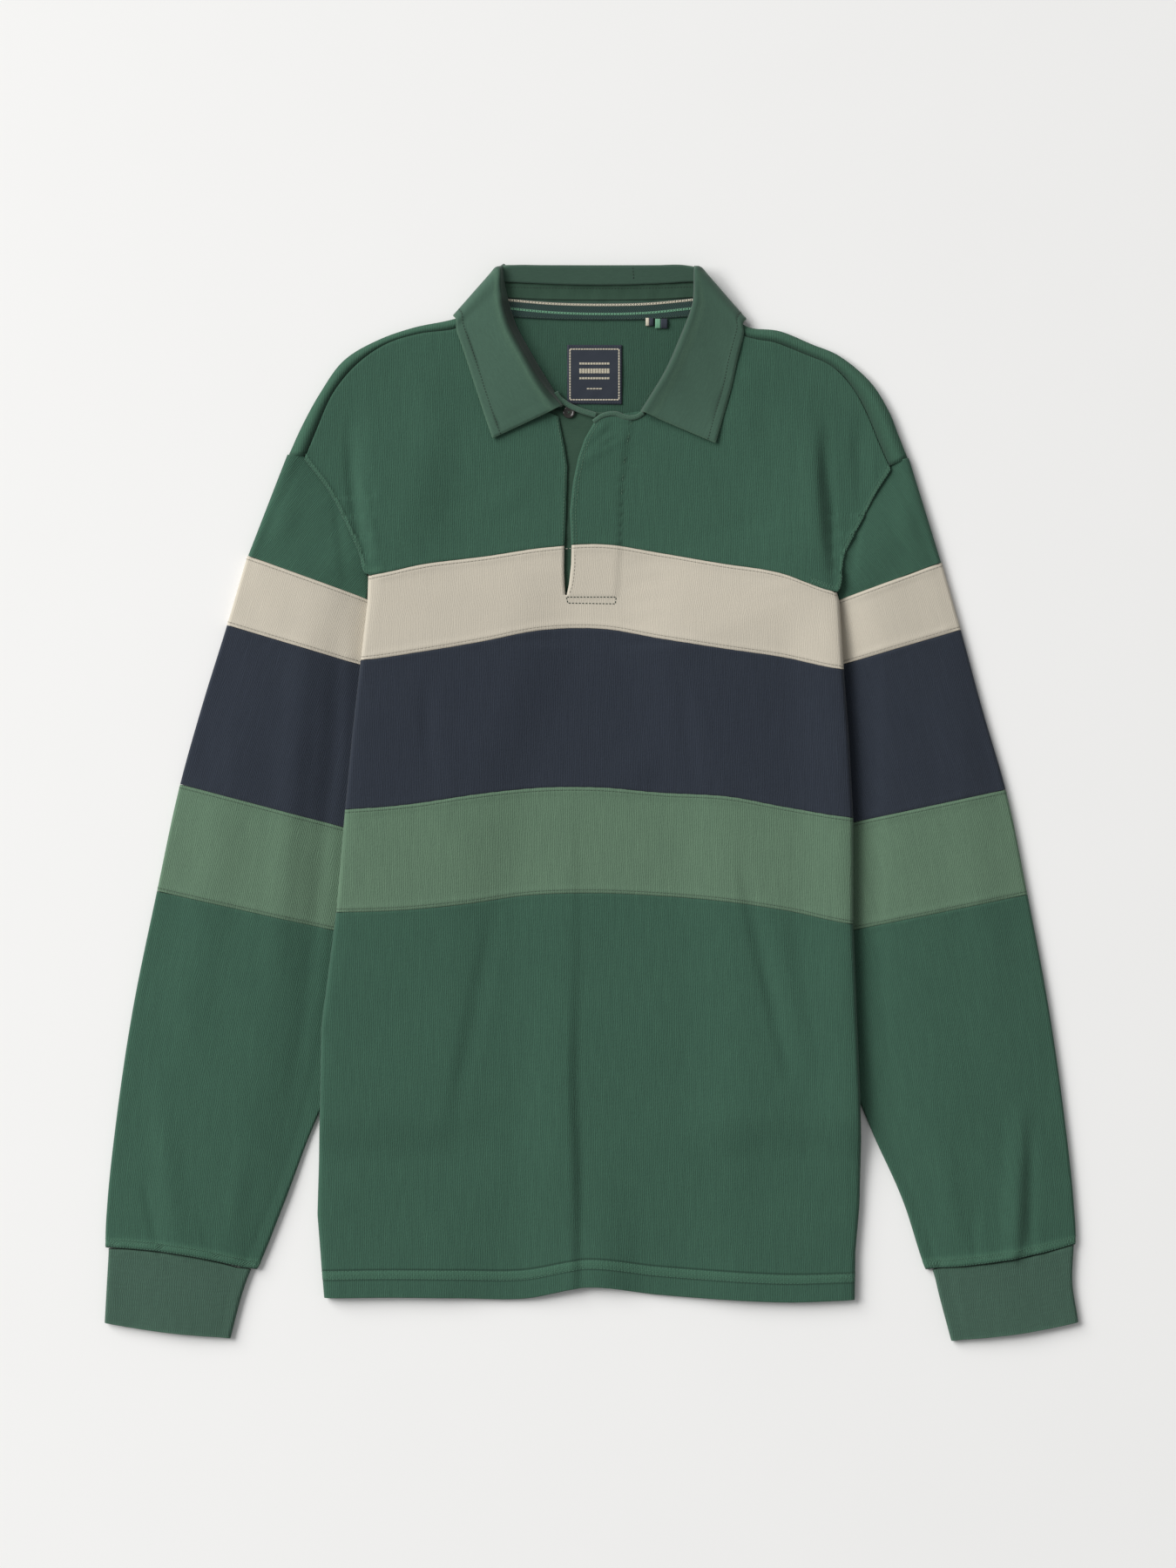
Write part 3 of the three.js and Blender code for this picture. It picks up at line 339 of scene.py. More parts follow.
def spread(values, grid):
    """One value for each row, repeated over the columns of a grid."""
    return np.repeat(values[:, None], grid.shape[1], axis=1)


def vector(*values):
    return np.array(values, float)


def folds(x, y, table):
    """Height that the laid folds of a table add at points."""
    total = np.zeros(np.broadcast(x, y).shape)
    for points, left, right in table:
        best, height = np.full(total.shape, 1e9), np.zeros(total.shape)
        for p, q in zip(points, points[1:]):
            dx, dy = q[0] - p[0], q[1] - p[1]
            t = np.clip(((x - p[0]) * dx + (y - p[1]) * dy) / (dx * dx + dy * dy), 0, 1)
            ox, oy = x - p[0] - t * dx, y - p[1] - t * dy
            away = np.hypot(ox, oy)
            width = np.where(dx * oy - dy * ox > 0, left, right)
            here = mix(p[2], q[2], t) * 0.5 * (1 + np.cos(np.pi * np.clip(away / width, 0, 1)))
            height = np.where(away < best, here, height)
            best = np.minimum(best, away)
        total += height
    return total * sizes().creasing


def wander(x, y, size, seed):
    """Slow uneven waves from -1 to 1 with about this size."""
    out = 0
    for k, (turn, part) in enumerate(((0.3, 1.0), (1.5, 1.31), (2.4, 0.77), (0.95, 1.83), (2.05, 0.58))):
        a = turn + 0.7 * seed
        out = out + np.sin((x * math.cos(a) + y * math.sin(a)) * 2 * math.pi * part / size + 1.7 * k + 2.3 * seed)
    return out / 3.2


def sleeve_lift(y):
    """Height of the sleeve under the body's folded side."""
    return 3.7 * smooth((y + 264) / 36)


def back_lift(y):
    """Height of what lies under the back's folded side."""
    return sleeve_lift(y) * fading((y - 152) / 32)


def curled(x, y):
    """How far the front's right side curls up over the sleeve."""
    beside = smooth((x - read(RIGHT_EDGE, y) + 44) / 40)
    return 3.8 * beside * smooth((y + 300) / 70) * fading((y - 104) / 62)


def raised(x, y):
    """1 on the sides of the body that lie on their folded parts, 0 over its middle."""
    strength = fading((y - 148) / 141)
    width = mix(8, 19, np.clip((y - 171) / 105, 0, 1))
    left_rise = np.where(y < LEFT_CORNER + 1, 1, smooth((x - read(LEFT_CREASE, y)) / width))
    right_rise = np.where(y < RIGHT_CORNER + 0.5, 1, smooth((read(RIGHT_CREASE, y) - x) / width))
    left_end = np.maximum(read(LEFT_FLAP, y), read(LEFT_EDGE, y) + 16)
    right_end = np.minimum(read(RIGHT_FLAP, y), read(RIGHT_EDGE, y) - 16)
    left = left_rise * fading((x - left_end - 3) / 52)
    right = right_rise * fading((right_end - x - 3) / 52)
    return strength * np.maximum(left, right)


def over_collar(x, y):
    """How much the collar lies under or over the cloth, from 0 to 1."""
    aside = np.maximum(0, np.abs(x - NECK_MIDDLE) - 122)
    below = np.maximum(0, 318 - y)
    return fading(np.hypot(aside, below) / 30)


def fly_relief(x, y):
    """Extra height of the turned fly beside the slit."""
    inside = smooth((x - read(FLY_EDGE, y) + 2) / 2) * smooth((read(FLY_STITCH, y) - x) / 1.4)
    return 0.75 * inside * smooth((y - 150) / 3)


def front_rest(x, y):
    """Height of the middle of the front, without its folds."""
    rest = mix(3.3, 4.2, smooth((y - 80) / 80)) + 0.9 * over_collar(x, y)
    rest = rest + 3.2 * smooth((y + 372) / 120) * fading((y - 90) / 90)
    here = raised(x, y)
    soft = sum(raised(x, y - shift) for shift in (0, 14, 28, 42, 56)) / 5
    return mix(rest, sleeve_lift(y) + FRONT_RAISED, np.maximum(here, soft)) + curled(x, y)


def front_height(x, y):
    """Height of the middle of the front, with its laid folds."""
    loose = folds(x, y, FRONT_FOLDS) + 0.28 * sizes().creasing * (wander(x, y * 0.6, 95, 1) + 0.6)
    return front_rest(x, y) + loose + fly_relief(x, y)


def back_height(x, y):
    """Height of the middle of the back."""
    rest = JERSEY_HALF + 2.05 * over_collar(x, y)
    return mix(rest, back_lift(y) + BACK_RAISED, raised(x, y))


def seam_relief(distance, topstitched):
    """Height beside a seam: a dip at the seam, a welt over the seam allowance on the stitched side."""
    dip = -0.32 * fading(distance / 1.5)
    welt = 0.34 * smooth(distance / 1.4) * fading((distance - 3.2) / 3.4)
    groove = -0.16 * fading(np.abs(distance - TOPSTITCH) / 0.7)
    return dip + (welt + groove if topstitched else 0.1 * smooth(distance / 1.4) * fading((distance - 2) / 4))


def band_mark(distance, first, last):
    """1 between two distances, 0 outside them."""
    return smooth((distance - first) / 0.8) * fading((distance - last) / 0.8)


def painted_line_shade(distance, insets, strength=0.5, half=0.7):
    """Painted shade from 0 to 1 in the seam at an edge and along the stitch lines at these distances."""
    out = 0.62 * fading(distance / 0.9)
    for inset in insets:
        out = np.maximum(out, strength * fading(np.abs(distance - inset) / half))
    return out


# Cloth

# Of each piece of cloth: its grid of middle points, its wall, whether its rows are rings, its object
GRIDS = {}


def distances(grid):
    """Distance of each point from its row's first point, and from its column's first point."""
    across = np.zeros(grid.shape[:2])
    across[:, 1:] = np.cumsum(np.linalg.norm(np.diff(grid, axis=1), axis=2), axis=1)
    down = np.zeros(grid.shape[:2])
    down[1:] = np.cumsum(np.linalg.norm(np.diff(grid, axis=0), axis=2), axis=0)
    return across, down


def grid_normals(grid, round_row=False):
    """Which way the cloth faces at each point."""
    along = np.gradient(grid, axis=1)
    if round_row:
        along[:, 0] = along[:, -1] = grid[:, 1] - grid[:, -2]
    normals = np.cross(along, np.gradient(grid, axis=0))
    return normals / np.maximum(np.linalg.norm(normals, axis=2, keepdims=True), 1e-9)


def placed(name, mesh, material):
    """A smooth object of a finished mesh, put into the scene."""
    mesh.polygons.foreach_set("use_smooth", np.ones(len(mesh.polygons), bool))
    mesh.materials.append(material)
    piece = bpy.data.objects.new(name, mesh)
    bpy.context.scene.collection.objects.link(piece)
    return piece


def cloth(name, grid, wall, material, nodes=(), uv=None, worn=None, round_row=False, outward=1,
          drop=None, deep=None):
    """A sheet of cloth through a grid of middle points in millimetres, with its wall around them.

    outward is -1 where the rows and columns turn the other way, so that the faces look out.
    worn says how much paler it is at each point, and the shade mark how much painted shade darkens it there. drop says
    which faces are cut away."""
    grid = np.asarray(grid, float)
    if outward < 0:
        grid, uv, worn, deep = (None if part is None else part[:, ::-1] for part in (grid, uv, worn, deep))
    grid = grid.copy()
    grid[:, :, 2] = np.maximum(grid[:, :, 2], wall / 2)
    rows, columns = grid.shape[:2]
    across, down = distances(grid)
    if uv is None:
        uv = np.stack([across - across[:, columns // 2][:, None], down], axis=2)
    bm = bmesh.new()
    bmesh.ops.create_grid(bm, x_segments=columns - 1, y_segments=rows - 1, size=0.5)
    mesh = bpy.data.meshes.new(name)
    bm.to_mesh(mesh)
    bm.free()
    flat = np.empty(len(mesh.vertices) * 3, np.float32)
    mesh.vertices.foreach_get("co", flat)
    flat = flat.reshape(-1, 3)
    i = np.rint((flat[:, 1] + 0.5) * (rows - 1)).astype(int)
    j = np.rint((flat[:, 0] + 0.5) * (columns - 1)).astype(int)
    mesh.vertices.foreach_set("co", (grid[i, j] * MM).astype(np.float32).ravel())
    corner = np.empty(len(mesh.loops), np.int32)
    mesh.loops.foreach_get("vertex_index", corner)
    layer = mesh.uv_layers.new(name="cloth")
    layer.data.foreach_set("uv", (uv[i, j][corner] * MM).astype(np.float32).ravel())
    # worn is rubbed wear; the second attribute is painted shade
    for mark, shares in (("worn", worn), ("deep", deep)):
        layer = mesh.attributes.new(mark, "FLOAT", "POINT")
        layer.data.foreach_set("value", (np.zeros(len(i)) if shares is None else shares[i, j]).astype(np.float32))
    bm = bmesh.new()
    bm.from_mesh(mesh)
    if drop is not None:
        middle = {f: f.calc_center_median() / MM for f in bm.faces}
        bmesh.ops.delete(bm, geom=[f for f, m in middle.items() if drop(m.x, m.y, m.z)], context="FACES")
    bmesh.ops.remove_doubles(bm, verts=bm.verts, dist=1e-6)
    bm.to_mesh(mesh)
    bm.free()
    mesh.update()
    piece = placed(name, mesh, material)
    shell = piece.modifiers.new("wall", "SOLIDIFY")
    shell.thickness = wall * MM
    shell.offset = 0
    shell.use_even_offset = False
    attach(piece, "root")
    if nodes:
        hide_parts(*nodes)
    GRIDS[name] = (grid, wall, round_row, piece)
    return piece


def edge_line(name, edge, inset, start=0.0, end=1.0):
    """Points and normals along a piece at a distance from one of its edges: top, bottom, left or right."""
    grid, wall, round_row, _ = GRIDS[name]
    normals = grid_normals(grid, round_row)
    if edge in ("left", "right"):
        grid, normals = grid.transpose(1, 0, 2), normals.transpose(1, 0, 2)
    if edge in ("bottom", "right"):
        grid, normals = grid[::-1], normals[::-1]
    _, down = distances(grid)
    points, ways = [], []
    count = grid.shape[1]
    for k in range(int(start * (count - 1)), int(end * (count - 1)) + 1):
        at = min(inset, down[-1, k])
        i = min(max(int(np.searchsorted(down[:, k], at)), 1), len(grid) - 1)
        t = (at - down[i - 1, k]) / max(down[i, k] - down[i - 1, k], 1e-9)
        points.append(mix(grid[i - 1, k], grid[i, k], t))
        ways.append(mix(normals[i - 1, k], normals[i, k], t))
    points, ways = np.array(points), np.array(ways)
    return points + ways * (wall / 2 + 0.06), ways


def resampled(points, ways, pitch):
    """Places at this pitch along a line, with their directions and normals."""
    run = run_along(points)
    keep = np.concatenate([[True], np.diff(run) > 1e-6])
    run, points, ways = run[keep], points[keep], ways[keep]
    count = max(2, int(run[-1] / pitch))
    at = np.linspace(0, run[-1], count + 1)
    at = (at[1:] + at[:-1]) / 2

    def at_distance(distance, values):
        return np.stack([np.interp(distance, run, column) for column in values.T], axis=1)

    ahead = at_distance(np.minimum(at + 0.4, run[-1]), points)
    behind = at_distance(np.maximum(at - 0.4, 0), points)
    return at_distance(at, points), ahead - behind, at_distance(at, ways)


def stitch_marks(lines, pitch, length):
    """Place, direction, normal and length of each stitch along lines of (points, normals)."""
    marks = []
    for points, ways in lines:
        place, way, normal = resampled(points, ways, pitch)
        marks += [(p, w, n, length) for p, w, n in zip(place, way, normal)]
    return marks


def cover_marks(first, second, pitch=2.2):
    """Two rows of stitches with slanting threads between them."""
    marks = stitch_marks([first, second], pitch, pitch * 0.8)
    a, _, na = resampled(*first, pitch)
    b, _, _ = resampled(*second, pitch)
    for k in range(min(len(a), len(b)) - 1):
        for p, q in ((a[k], b[k + 1]), (b[k], a[k + 1])):
            marks.append(((p + q) / 2, q - p, na[k], float(np.linalg.norm(q - p)) * 0.94))
    return marks


def edges(pieces, sides, insets):
    """Lines on pieces of cloth at these distances from these edges."""
    return [edge_line(f"{piece}_cloth", side, inset) for piece in pieces for side in sides for inset in insets]


def upward(line):
    """Normals that point straight up from a line."""
    return np.tile([0, 0, 1.0], (len(line), 1))


def stitched(name, marks, material, thickness=None, sides=6):
    """One piece with all these stitches, each a small bulging run of thread."""
    thick = (thickness or sizes().thread / MM) / 2
    bm = bmesh.new()
    bmesh.ops.create_uvsphere(bm, u_segments=sides, v_segments=3, radius=1)
    bmesh.ops.rotate(bm, verts=bm.verts, cent=(0, 0, 0), matrix=Matrix.Rotation(math.pi / 2, 3, "Y"))
    one = bpy.data.meshes.new(name + "_one")
    bm.to_mesh(one)
    bm.free()
    base = np.empty(len(one.vertices) * 3, np.float32)
    one.vertices.foreach_get("co", base)
    base = base.reshape(-1, 3)
    base[:, 0] = np.sign(base[:, 0]) * np.abs(base[:, 0]) ** 0.7
    joined = bmesh.new()
    for place, way, normal, length in marks:
        place = np.array([place[0], place[1], max(place[2], thick)])
        x = way / max(np.linalg.norm(way), 1e-9)
        y = np.cross(normal, x)
        y = y / max(np.linalg.norm(y), 1e-9)
        z = np.cross(x, y)
        turn = np.stack([x * length / 2, y * thick, z * thick * 0.8])
        around = base @ turn + place
        around[:, 2] = np.maximum(around[:, 2], 0.02)
        one.vertices.foreach_set("co", (around * MM).astype(np.float32).ravel())
        joined.from_mesh(one)
    mesh = bpy.data.meshes.new(name)
    joined.to_mesh(mesh)
    joined.free()
    bpy.data.meshes.remove(one)
    piece = placed(name, mesh, material)
    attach(piece, "root")
    return piece


# Finishes

class Finish:
    """A material under way, with short ways to add its nodes."""

    def __init__(self, name, roughness, sheen=0.0, specular=0.2):
        self.material = bpy.data.materials.new(name)
        self.material.use_nodes = True
        self.nodes, self.links = self.material.node_tree.nodes, self.material.node_tree.links
        self.shader = self.nodes["Principled BSDF"]
        for name, value in (("Roughness", roughness), ("Specular IOR Level", specular), ("Sheen Weight", sheen),
                            ("Sheen Roughness", 0.5)):
            self.shader.inputs[name].default_value = value

    def feed(self, socket, value):
        if isinstance(value, bpy.types.NodeSocket):
            self.links.new(value, socket)
        else:
            socket.default_value = value

    def node(self, kind, **inputs):
        node = self.nodes.new("ShaderNode" + kind)
        for name, value in inputs.items():
            self.feed(node.inputs[name], value)
        return node

    def calc(self, operation, *terms):
        node = self.node("Math")
        node.operation = operation
        for socket, term in zip(node.inputs, terms):
            self.feed(socket, term)
        return node.outputs[0]

    def total(self, *parts):
        """Sum of values, each with its share."""
        terms = [self.calc("MULTIPLY", value, share) for value, share in parts]
        out = terms.pop()
        while terms:
            out = self.calc("ADD", terms.pop(), out)
        return out

    def over(self, value, start, strength):
        """How far a value is over its start, times a strength."""
        return self.calc("MULTIPLY", self.calc("SUBTRACT", value, start), strength)

    def along_cloth(self):
        node = self.node("UVMap")
        node.uv_map = "cloth"
        return node.outputs["UV"]

    def in_space(self):
        return self.node("TexCoord").outputs["Object"]

    def scaled(self, vector, scale, turn=0.0):
        return self.node("Mapping", Vector=vector, Scale=scale, Rotation=(0, 0, turn)).outputs[0]

    def parts(self, vector):
        """Both coordinates of a place in the plane."""
        return self.node("SeparateXYZ", Vector=vector).outputs[:2]

    def noise(self, vector, scale, detail=2.0):
        return self.node("TexNoise", Vector=vector, Scale=scale, Detail=detail).outputs[0]

    def wave(self, value, pitch, phase=0.0):
        turned = self.calc("MULTIPLY_ADD", value, 2 * math.pi / pitch, phase)
        return self.calc("MULTIPLY_ADD", self.calc("SINE", turned), 0.5, 0.5)

    def blend(self, amount, first, second):
        node = self.node("Mix")
        node.data_type = "RGBA"
        for socket, value in ((0, amount), (6, first), (7, second)):
            self.feed(node.inputs[socket], value)
        return node.outputs[2]

    def mark(self, name):
        node = self.node("Attribute")
        node.attribute_name = name
        return node.outputs["Fac"]

    def finished(self, base, colour, fibres, pale, warm):
        """Colour of the cloth, paler where it is rubbed, and darkened by painted shade in its seams, stitch lines and
        shaded hollows.
        """
        rubbed = self.calc("MULTIPLY", self.mark("worn"), self.calc("MULTIPLY_ADD", fibres, 0.8, 0.05))
        base = self.blend(rubbed, base, shade(colour, pale, warm))
        # Painted shade: the shade mark blends the colour towards a dark copy of it
        return self.blend(self.mark("deep"), base, shade(colour, 0.3))

    def colour(self, value):
        self.feed(self.shader.inputs["Base Color"], value)

    def relief(self, height, strength, depth):
        bump = self.node("Bump", Strength=strength, Distance=depth, Height=height)
        self.links.new(bump.outputs[0], self.shader.inputs["Normal"])


def shade(colour, factor, warm=0.0):
    """The colour made paler or darker by a factor, and more red than blue by warm."""
    red, green, blue = colour
    return min(1, red * factor * (1 + warm)), min(1, green * factor), min(1, blue * factor * (1 - warm)), 1


def jersey_finish(name, colour, deep=0.6, bright=1.32, lines=0.8, relief=0.7):
    """Ribbed cotton jersey, washed after it was dyed."""
    f = Finish(name, 0.93, 0.12)
    cloth_map = f.along_cloth()
    drift = f.noise(f.scaled(cloth_map, (1, 0.25, 1)), 160, 2)
    wale = sizes().wale
    u = f.calc("ADD", f.parts(cloth_map)[0], f.over(drift, 0.5, wale * 3))
    rib = f.wave(u, wale)
    loops = f.noise(f.scaled(cloth_map, (1, 0.55, 1)), 1150, 2)
    fibres = f.noise(f.scaled(cloth_map, (1, 0.3, 1)), 1500, 3)
    streaks = f.noise(f.scaled(cloth_map, (1, 0.12, 1)), 380, 2)
    courses = f.noise(f.scaled(cloth_map, (0.2, 1, 1)), 420, 2)
    clouds = f.noise(cloth_map, 22, 3)
    height = f.total((rib, 0.45), (loops, 0.55), (fibres, 0.5))
    tone = f.total((rib, 0.3), (loops, 0.25), (fibres, 0.45))
    base = f.blend(tone, shade(colour, deep), shade(colour, bright))
    base = f.blend(f.over(streaks, 0.38, lines), base, shade(colour, 1.3, 0.02))
    base = f.blend(f.over(courses, 0.42, lines * 0.6), base, shade(colour, 0.78))
    base = f.blend(f.over(clouds, 0.45, 0.7), base, shade(colour, 0.84, -0.02))
    f.colour(f.finished(base, colour, fibres, 1.45, 0.04))
    f.relief(height, relief, 0.0005)
    return f.material


def rib_finish(name, colour):
    """Fine one by one rib of the cuffs."""
    f = Finish(name, 0.93, 0.12)
    cloth_map = f.along_cloth()
    drift = f.noise(cloth_map, 180, 2)
    wale = sizes().rib_wale
    rib = f.wave(f.calc("ADD", f.parts(cloth_map)[0], f.over(drift, 0.5, wale * 2)), wale)
    rows = f.noise(f.scaled(cloth_map, (0.22, 1, 1)), 620, 2)
    streaks = f.noise(f.scaled(cloth_map, (1, 0.1, 1)), 420, 2)
    fibres = f.noise(cloth_map, 1300, 3)
    clouds = f.noise(cloth_map, 40, 3)
    tone = f.total((rib, 0.25), (rows, 0.4), (fibres, 0.35))
    base = f.blend(tone, shade(colour, 0.6), shade(colour, 1.34))
    base = f.blend(f.over(streaks, 0.4, 1.2), base, shade(colour, 0.76))
    base = f.blend(f.over(clouds, 0.45, 0.7), base, shade(colour, 0.84))
    f.colour(f.finished(base, colour, fibres, 1.45, 0.04))
    f.relief(f.calc("ADD", f.calc("MULTIPLY", rib, 0.7), rows), 0.6, 0.0004)
    return f.material


def twill_finish(name, colour):
    """Brushed cotton twill with fine slanting lines."""
    f = Finish(name, 0.9, 0.2)
    cloth_map = f.along_cloth()
    slant = f.noise(f.scaled(cloth_map, (1, 0.16, 1), math.pi / 4), 900, 2)
    fibres = f.noise(cloth_map, 1600, 4)
    clouds = f.noise(cloth_map, 34, 4)
    specks = f.noise(cloth_map, 420, 2)
    base = f.blend(f.total((slant, 0.45), (fibres, 0.55)), shade(colour, 0.7), shade(colour, 1.28))
    base = f.blend(f.over(specks, 0.45, 0.9), base, shade(colour, 1.2, 0.02))
    base = f.blend(f.over(clouds, 0.42, 0.8), base, shade(colour, 0.84))
    f.colour(f.finished(base, colour, specks, 1.55, 0.1))
    f.relief(f.calc("ADD", slant, fibres), 0.4, 0.0002)
    return f.material


def tape_finish(name, colour):
    """Woven tape with a herringbone of its own colour and the jersey's green."""
    f = Finish(name, 0.85, 0.1)
    cloth_map = f.along_cloth()
    u, v = f.parts(cloth_map)
    zigzag = f.calc("PINGPONG", v, 0.0013)
    lines = f.wave(f.calc("ADD", u, zigzag), 0.0016)
    fine = f.noise(cloth_map, 1500, 3)
    base = f.blend(lines, shade(colour, 0.8), shade(colours().green, 0.95))
    f.colour(f.blend(f.calc("MULTIPLY", fine, 0.5), base, shade(colour, 0.6)))
    f.relief(lines, 0.5, 0.0003)
    return f.material


def satin_finish(name, colour):
    """Close woven label cloth with a fine crosswise rib."""
    f = Finish(name, 0.7, 0.1, 0.3)
    cloth_map = f.along_cloth()
    picks = f.wave(f.parts(cloth_map)[1], 0.0006)
    fine = f.noise(cloth_map, 1800, 3)
    f.colour(f.blend(f.total((picks, 0.5), (fine, 0.5)), shade(colour, 0.7), shade(colour, 1.25)))
    f.relief(picks, 0.35, 0.00015)
    return f.material


def thread_finish(name, colour, gloss=0.6):
    """Sewing thread with its twist."""
    f = Finish(name, gloss, 0.1, 0.35)
    place = f.in_space()
    x, y = f.parts(place)
    twist = f.wave(f.calc("ADD", x, y), 0.0006)
    fine = f.noise(place, 2500, 2)
    f.colour(f.blend(f.calc("MULTIPLY_ADD", twist, 0.4, f.calc("MULTIPLY", fine, 0.5)),
                     shade(colour, 0.72), shade(colour, 1.25)))
    f.relief(twist, 0.3, 0.0001)
    return f.material


def shell_finish(name, colour):
    """Polished shell of the button."""
    f = Finish(name, 0.18, 0.0, 0.6)
    place = f.in_space()
    swirl = f.noise(place, 260, 4)
    f.colour(f.blend(swirl, shade(colour, 0.6), shade(colour, 1.3)))
    f.relief(swirl, 0.1, 0.0001)
    return f.material


def paper_finish(name, colour):
    f = Finish(name, 0.95, 0.0, 0.1)
    place = f.in_space()
    grain = f.noise(place, 9, 3)
    f.colour(f.blend(grain, shade(colour, 0.985), shade(colour, 1.0)))
    return f.material


# Each finish: how it is made, its name, its colour, the shade of that colour, further values
RECIPES = {
    "green": (jersey_finish, "green_jersey", "green", (), ()),
    "stone": (jersey_finish, "stone_jersey", "stone", (), (0.84, 1.08, 0.18, 0.35)),
    "navy": (jersey_finish, "navy_jersey", "navy", (), (0.62, 1.36)),
    "sage": (jersey_finish, "sage_jersey", "sage", (), (0.7, 1.24, 0.6)),
    "rib": (rib_finish, "cuff_rib", "cuff", (), ()),
    "collar": (twill_finish, "collar_twill", "collar", (), ()),
    # Darker copy of the collar twill, painted shade
    "shaded_twill": (twill_finish, "facing_twill", "shaded_twill", (), ()),
    "tape": (tape_finish, "neck_tape", "navy", (), ()),
    "label": (satin_finish, "label_cloth", "navy", (), ()),
    "cream": (satin_finish, "cream_weave", "cream", (), ()),
    "mint": (satin_finish, "mint_weave", "mint", (), ()),
    "green_thread": (thread_finish, "green_thread", "thread", (), ()),
    "dark_thread": (thread_finish, "dark_green_thread", "thread", (0.42,), ()),
    "cover_thread": (thread_finish, "cover_thread", "green", (1.55, 0.03), (0.75,)),
    "pale_thread": (thread_finish, "pale_green_thread", "collar", (1.5, 0.08), ()),
    "stone_thread": (thread_finish, "stone_thread", "stone", (0.6,), ()),
    "sage_thread": (thread_finish, "sage_thread", "sage", (0.6,), ()),
    "navy_thread": (thread_finish, "navy_thread", "navy", (1.5,), ()),
    "cream_thread": (thread_finish, "cream_thread", "cream", (), (0.7,)),
    "mint_thread": (thread_finish, "mint_thread", "mint", (), (0.7,)),
    "shell": (shell_finish, "button_shell", "button", (), ()),
    "paper": (paper_finish, "paper", "paper", (), ()),
}
FINISHES = {}


def finish(name):
    """The finish of this name, made once."""
    if name not in FINISHES:
        make, title, colour, tint, more = RECIPES[name]
        base = getattr(colours(), colour)
        FINISHES[name] = make(title, shade(base, *tint)[:3] if tint else base, *more)
    return FINISHES[name]


# Body

TURN = np.radians([-72, -54, -36, -18, 0, 18, 36, 54, 72])
HEM_ROWS = (22, 21, 20.4, 19.8, 19.2, 18.4, 17.8, 17.2, 16.6, 15.8, 14.7, 14, 13.3, 12.2)
BANDS = (("stone", "stone_top", "stone_bottom", True), ("navy", "stone_bottom", "navy_bottom", False),
         ("sage", "navy_bottom", "sage_bottom", True), ("lower", "sage_bottom", "hem", False))


def body_row(height_at, layer, across, extra):
    """Section of the body at one line: under the left fold, over the top, under the right fold."""
    y_left, y_right = float(height_at(0.0)), float(height_at(1.0))
    left, right = float(read(LEFT_EDGE, y_left)), float(read(RIGHT_EDGE, y_right))
    inset, reach = JERSEY_HALF + layer * LAYER, FOLD_REACH - layer * LAYER
    left_end = max(float(read(LEFT_FLAP, y_left)), left + 6)
    right_end = min(float(read(RIGHT_FLAP, y_right)), right - 6)
    left_fold, right_fold = left + inset + reach, right - inset - reach
    height = back_height if layer else front_height

    def top(x):
        y = height_at((x - left) / (right - left))
        side = smooth((x - left_fold) / 5) * smooth((right_fold - x) / 5)
        plain = back_height(x, y) if layer else front_rest(x, y)
        return np.stack([x, y, mix(plain, height(x, y) + extra * side, side)], axis=1)

    def under(x, y):
        z = back_lift(y) + JERSEY_HALF + layer * LAYER
        return np.stack([x, np.full_like(x, y), np.full_like(x, z)], axis=1)

    def turn(x, y, away, low, high):
        z = mix(low, high, 0.5 + 0.5 * np.sin(TURN))
        return np.stack([x + away * reach * np.cos(TURN), np.full_like(TURN, y), z], axis=1)

    share = np.linspace(1, 0, across[0])
    left_under = under(mix(left_fold, left_end, share), y_left)
    right_under = under(mix(right_fold, right_end, share[::-1]), y_right)
    middle_y = float(height_at((-17 - left) / (right - left)))
    slit = SLIT_FOOT_EDGES
    if middle_y > SLIT_FOOT:
        slit = float(read(SLIT_EDGE, middle_y)), float(read(FLY_EDGE, middle_y))
    xs = np.concatenate([np.linspace(left_fold, slit[0], across[1]), np.linspace(slit[1], right_fold, across[2])])
    over = top(xs)
    return np.concatenate([
        left_under, turn(left_fold, y_left, -1, left_under[-1, 2], over[0, 2]), over,
        turn(right_fold, y_right, 1, right_under[0, 2], over[-1, 2])[::-1], right_under])


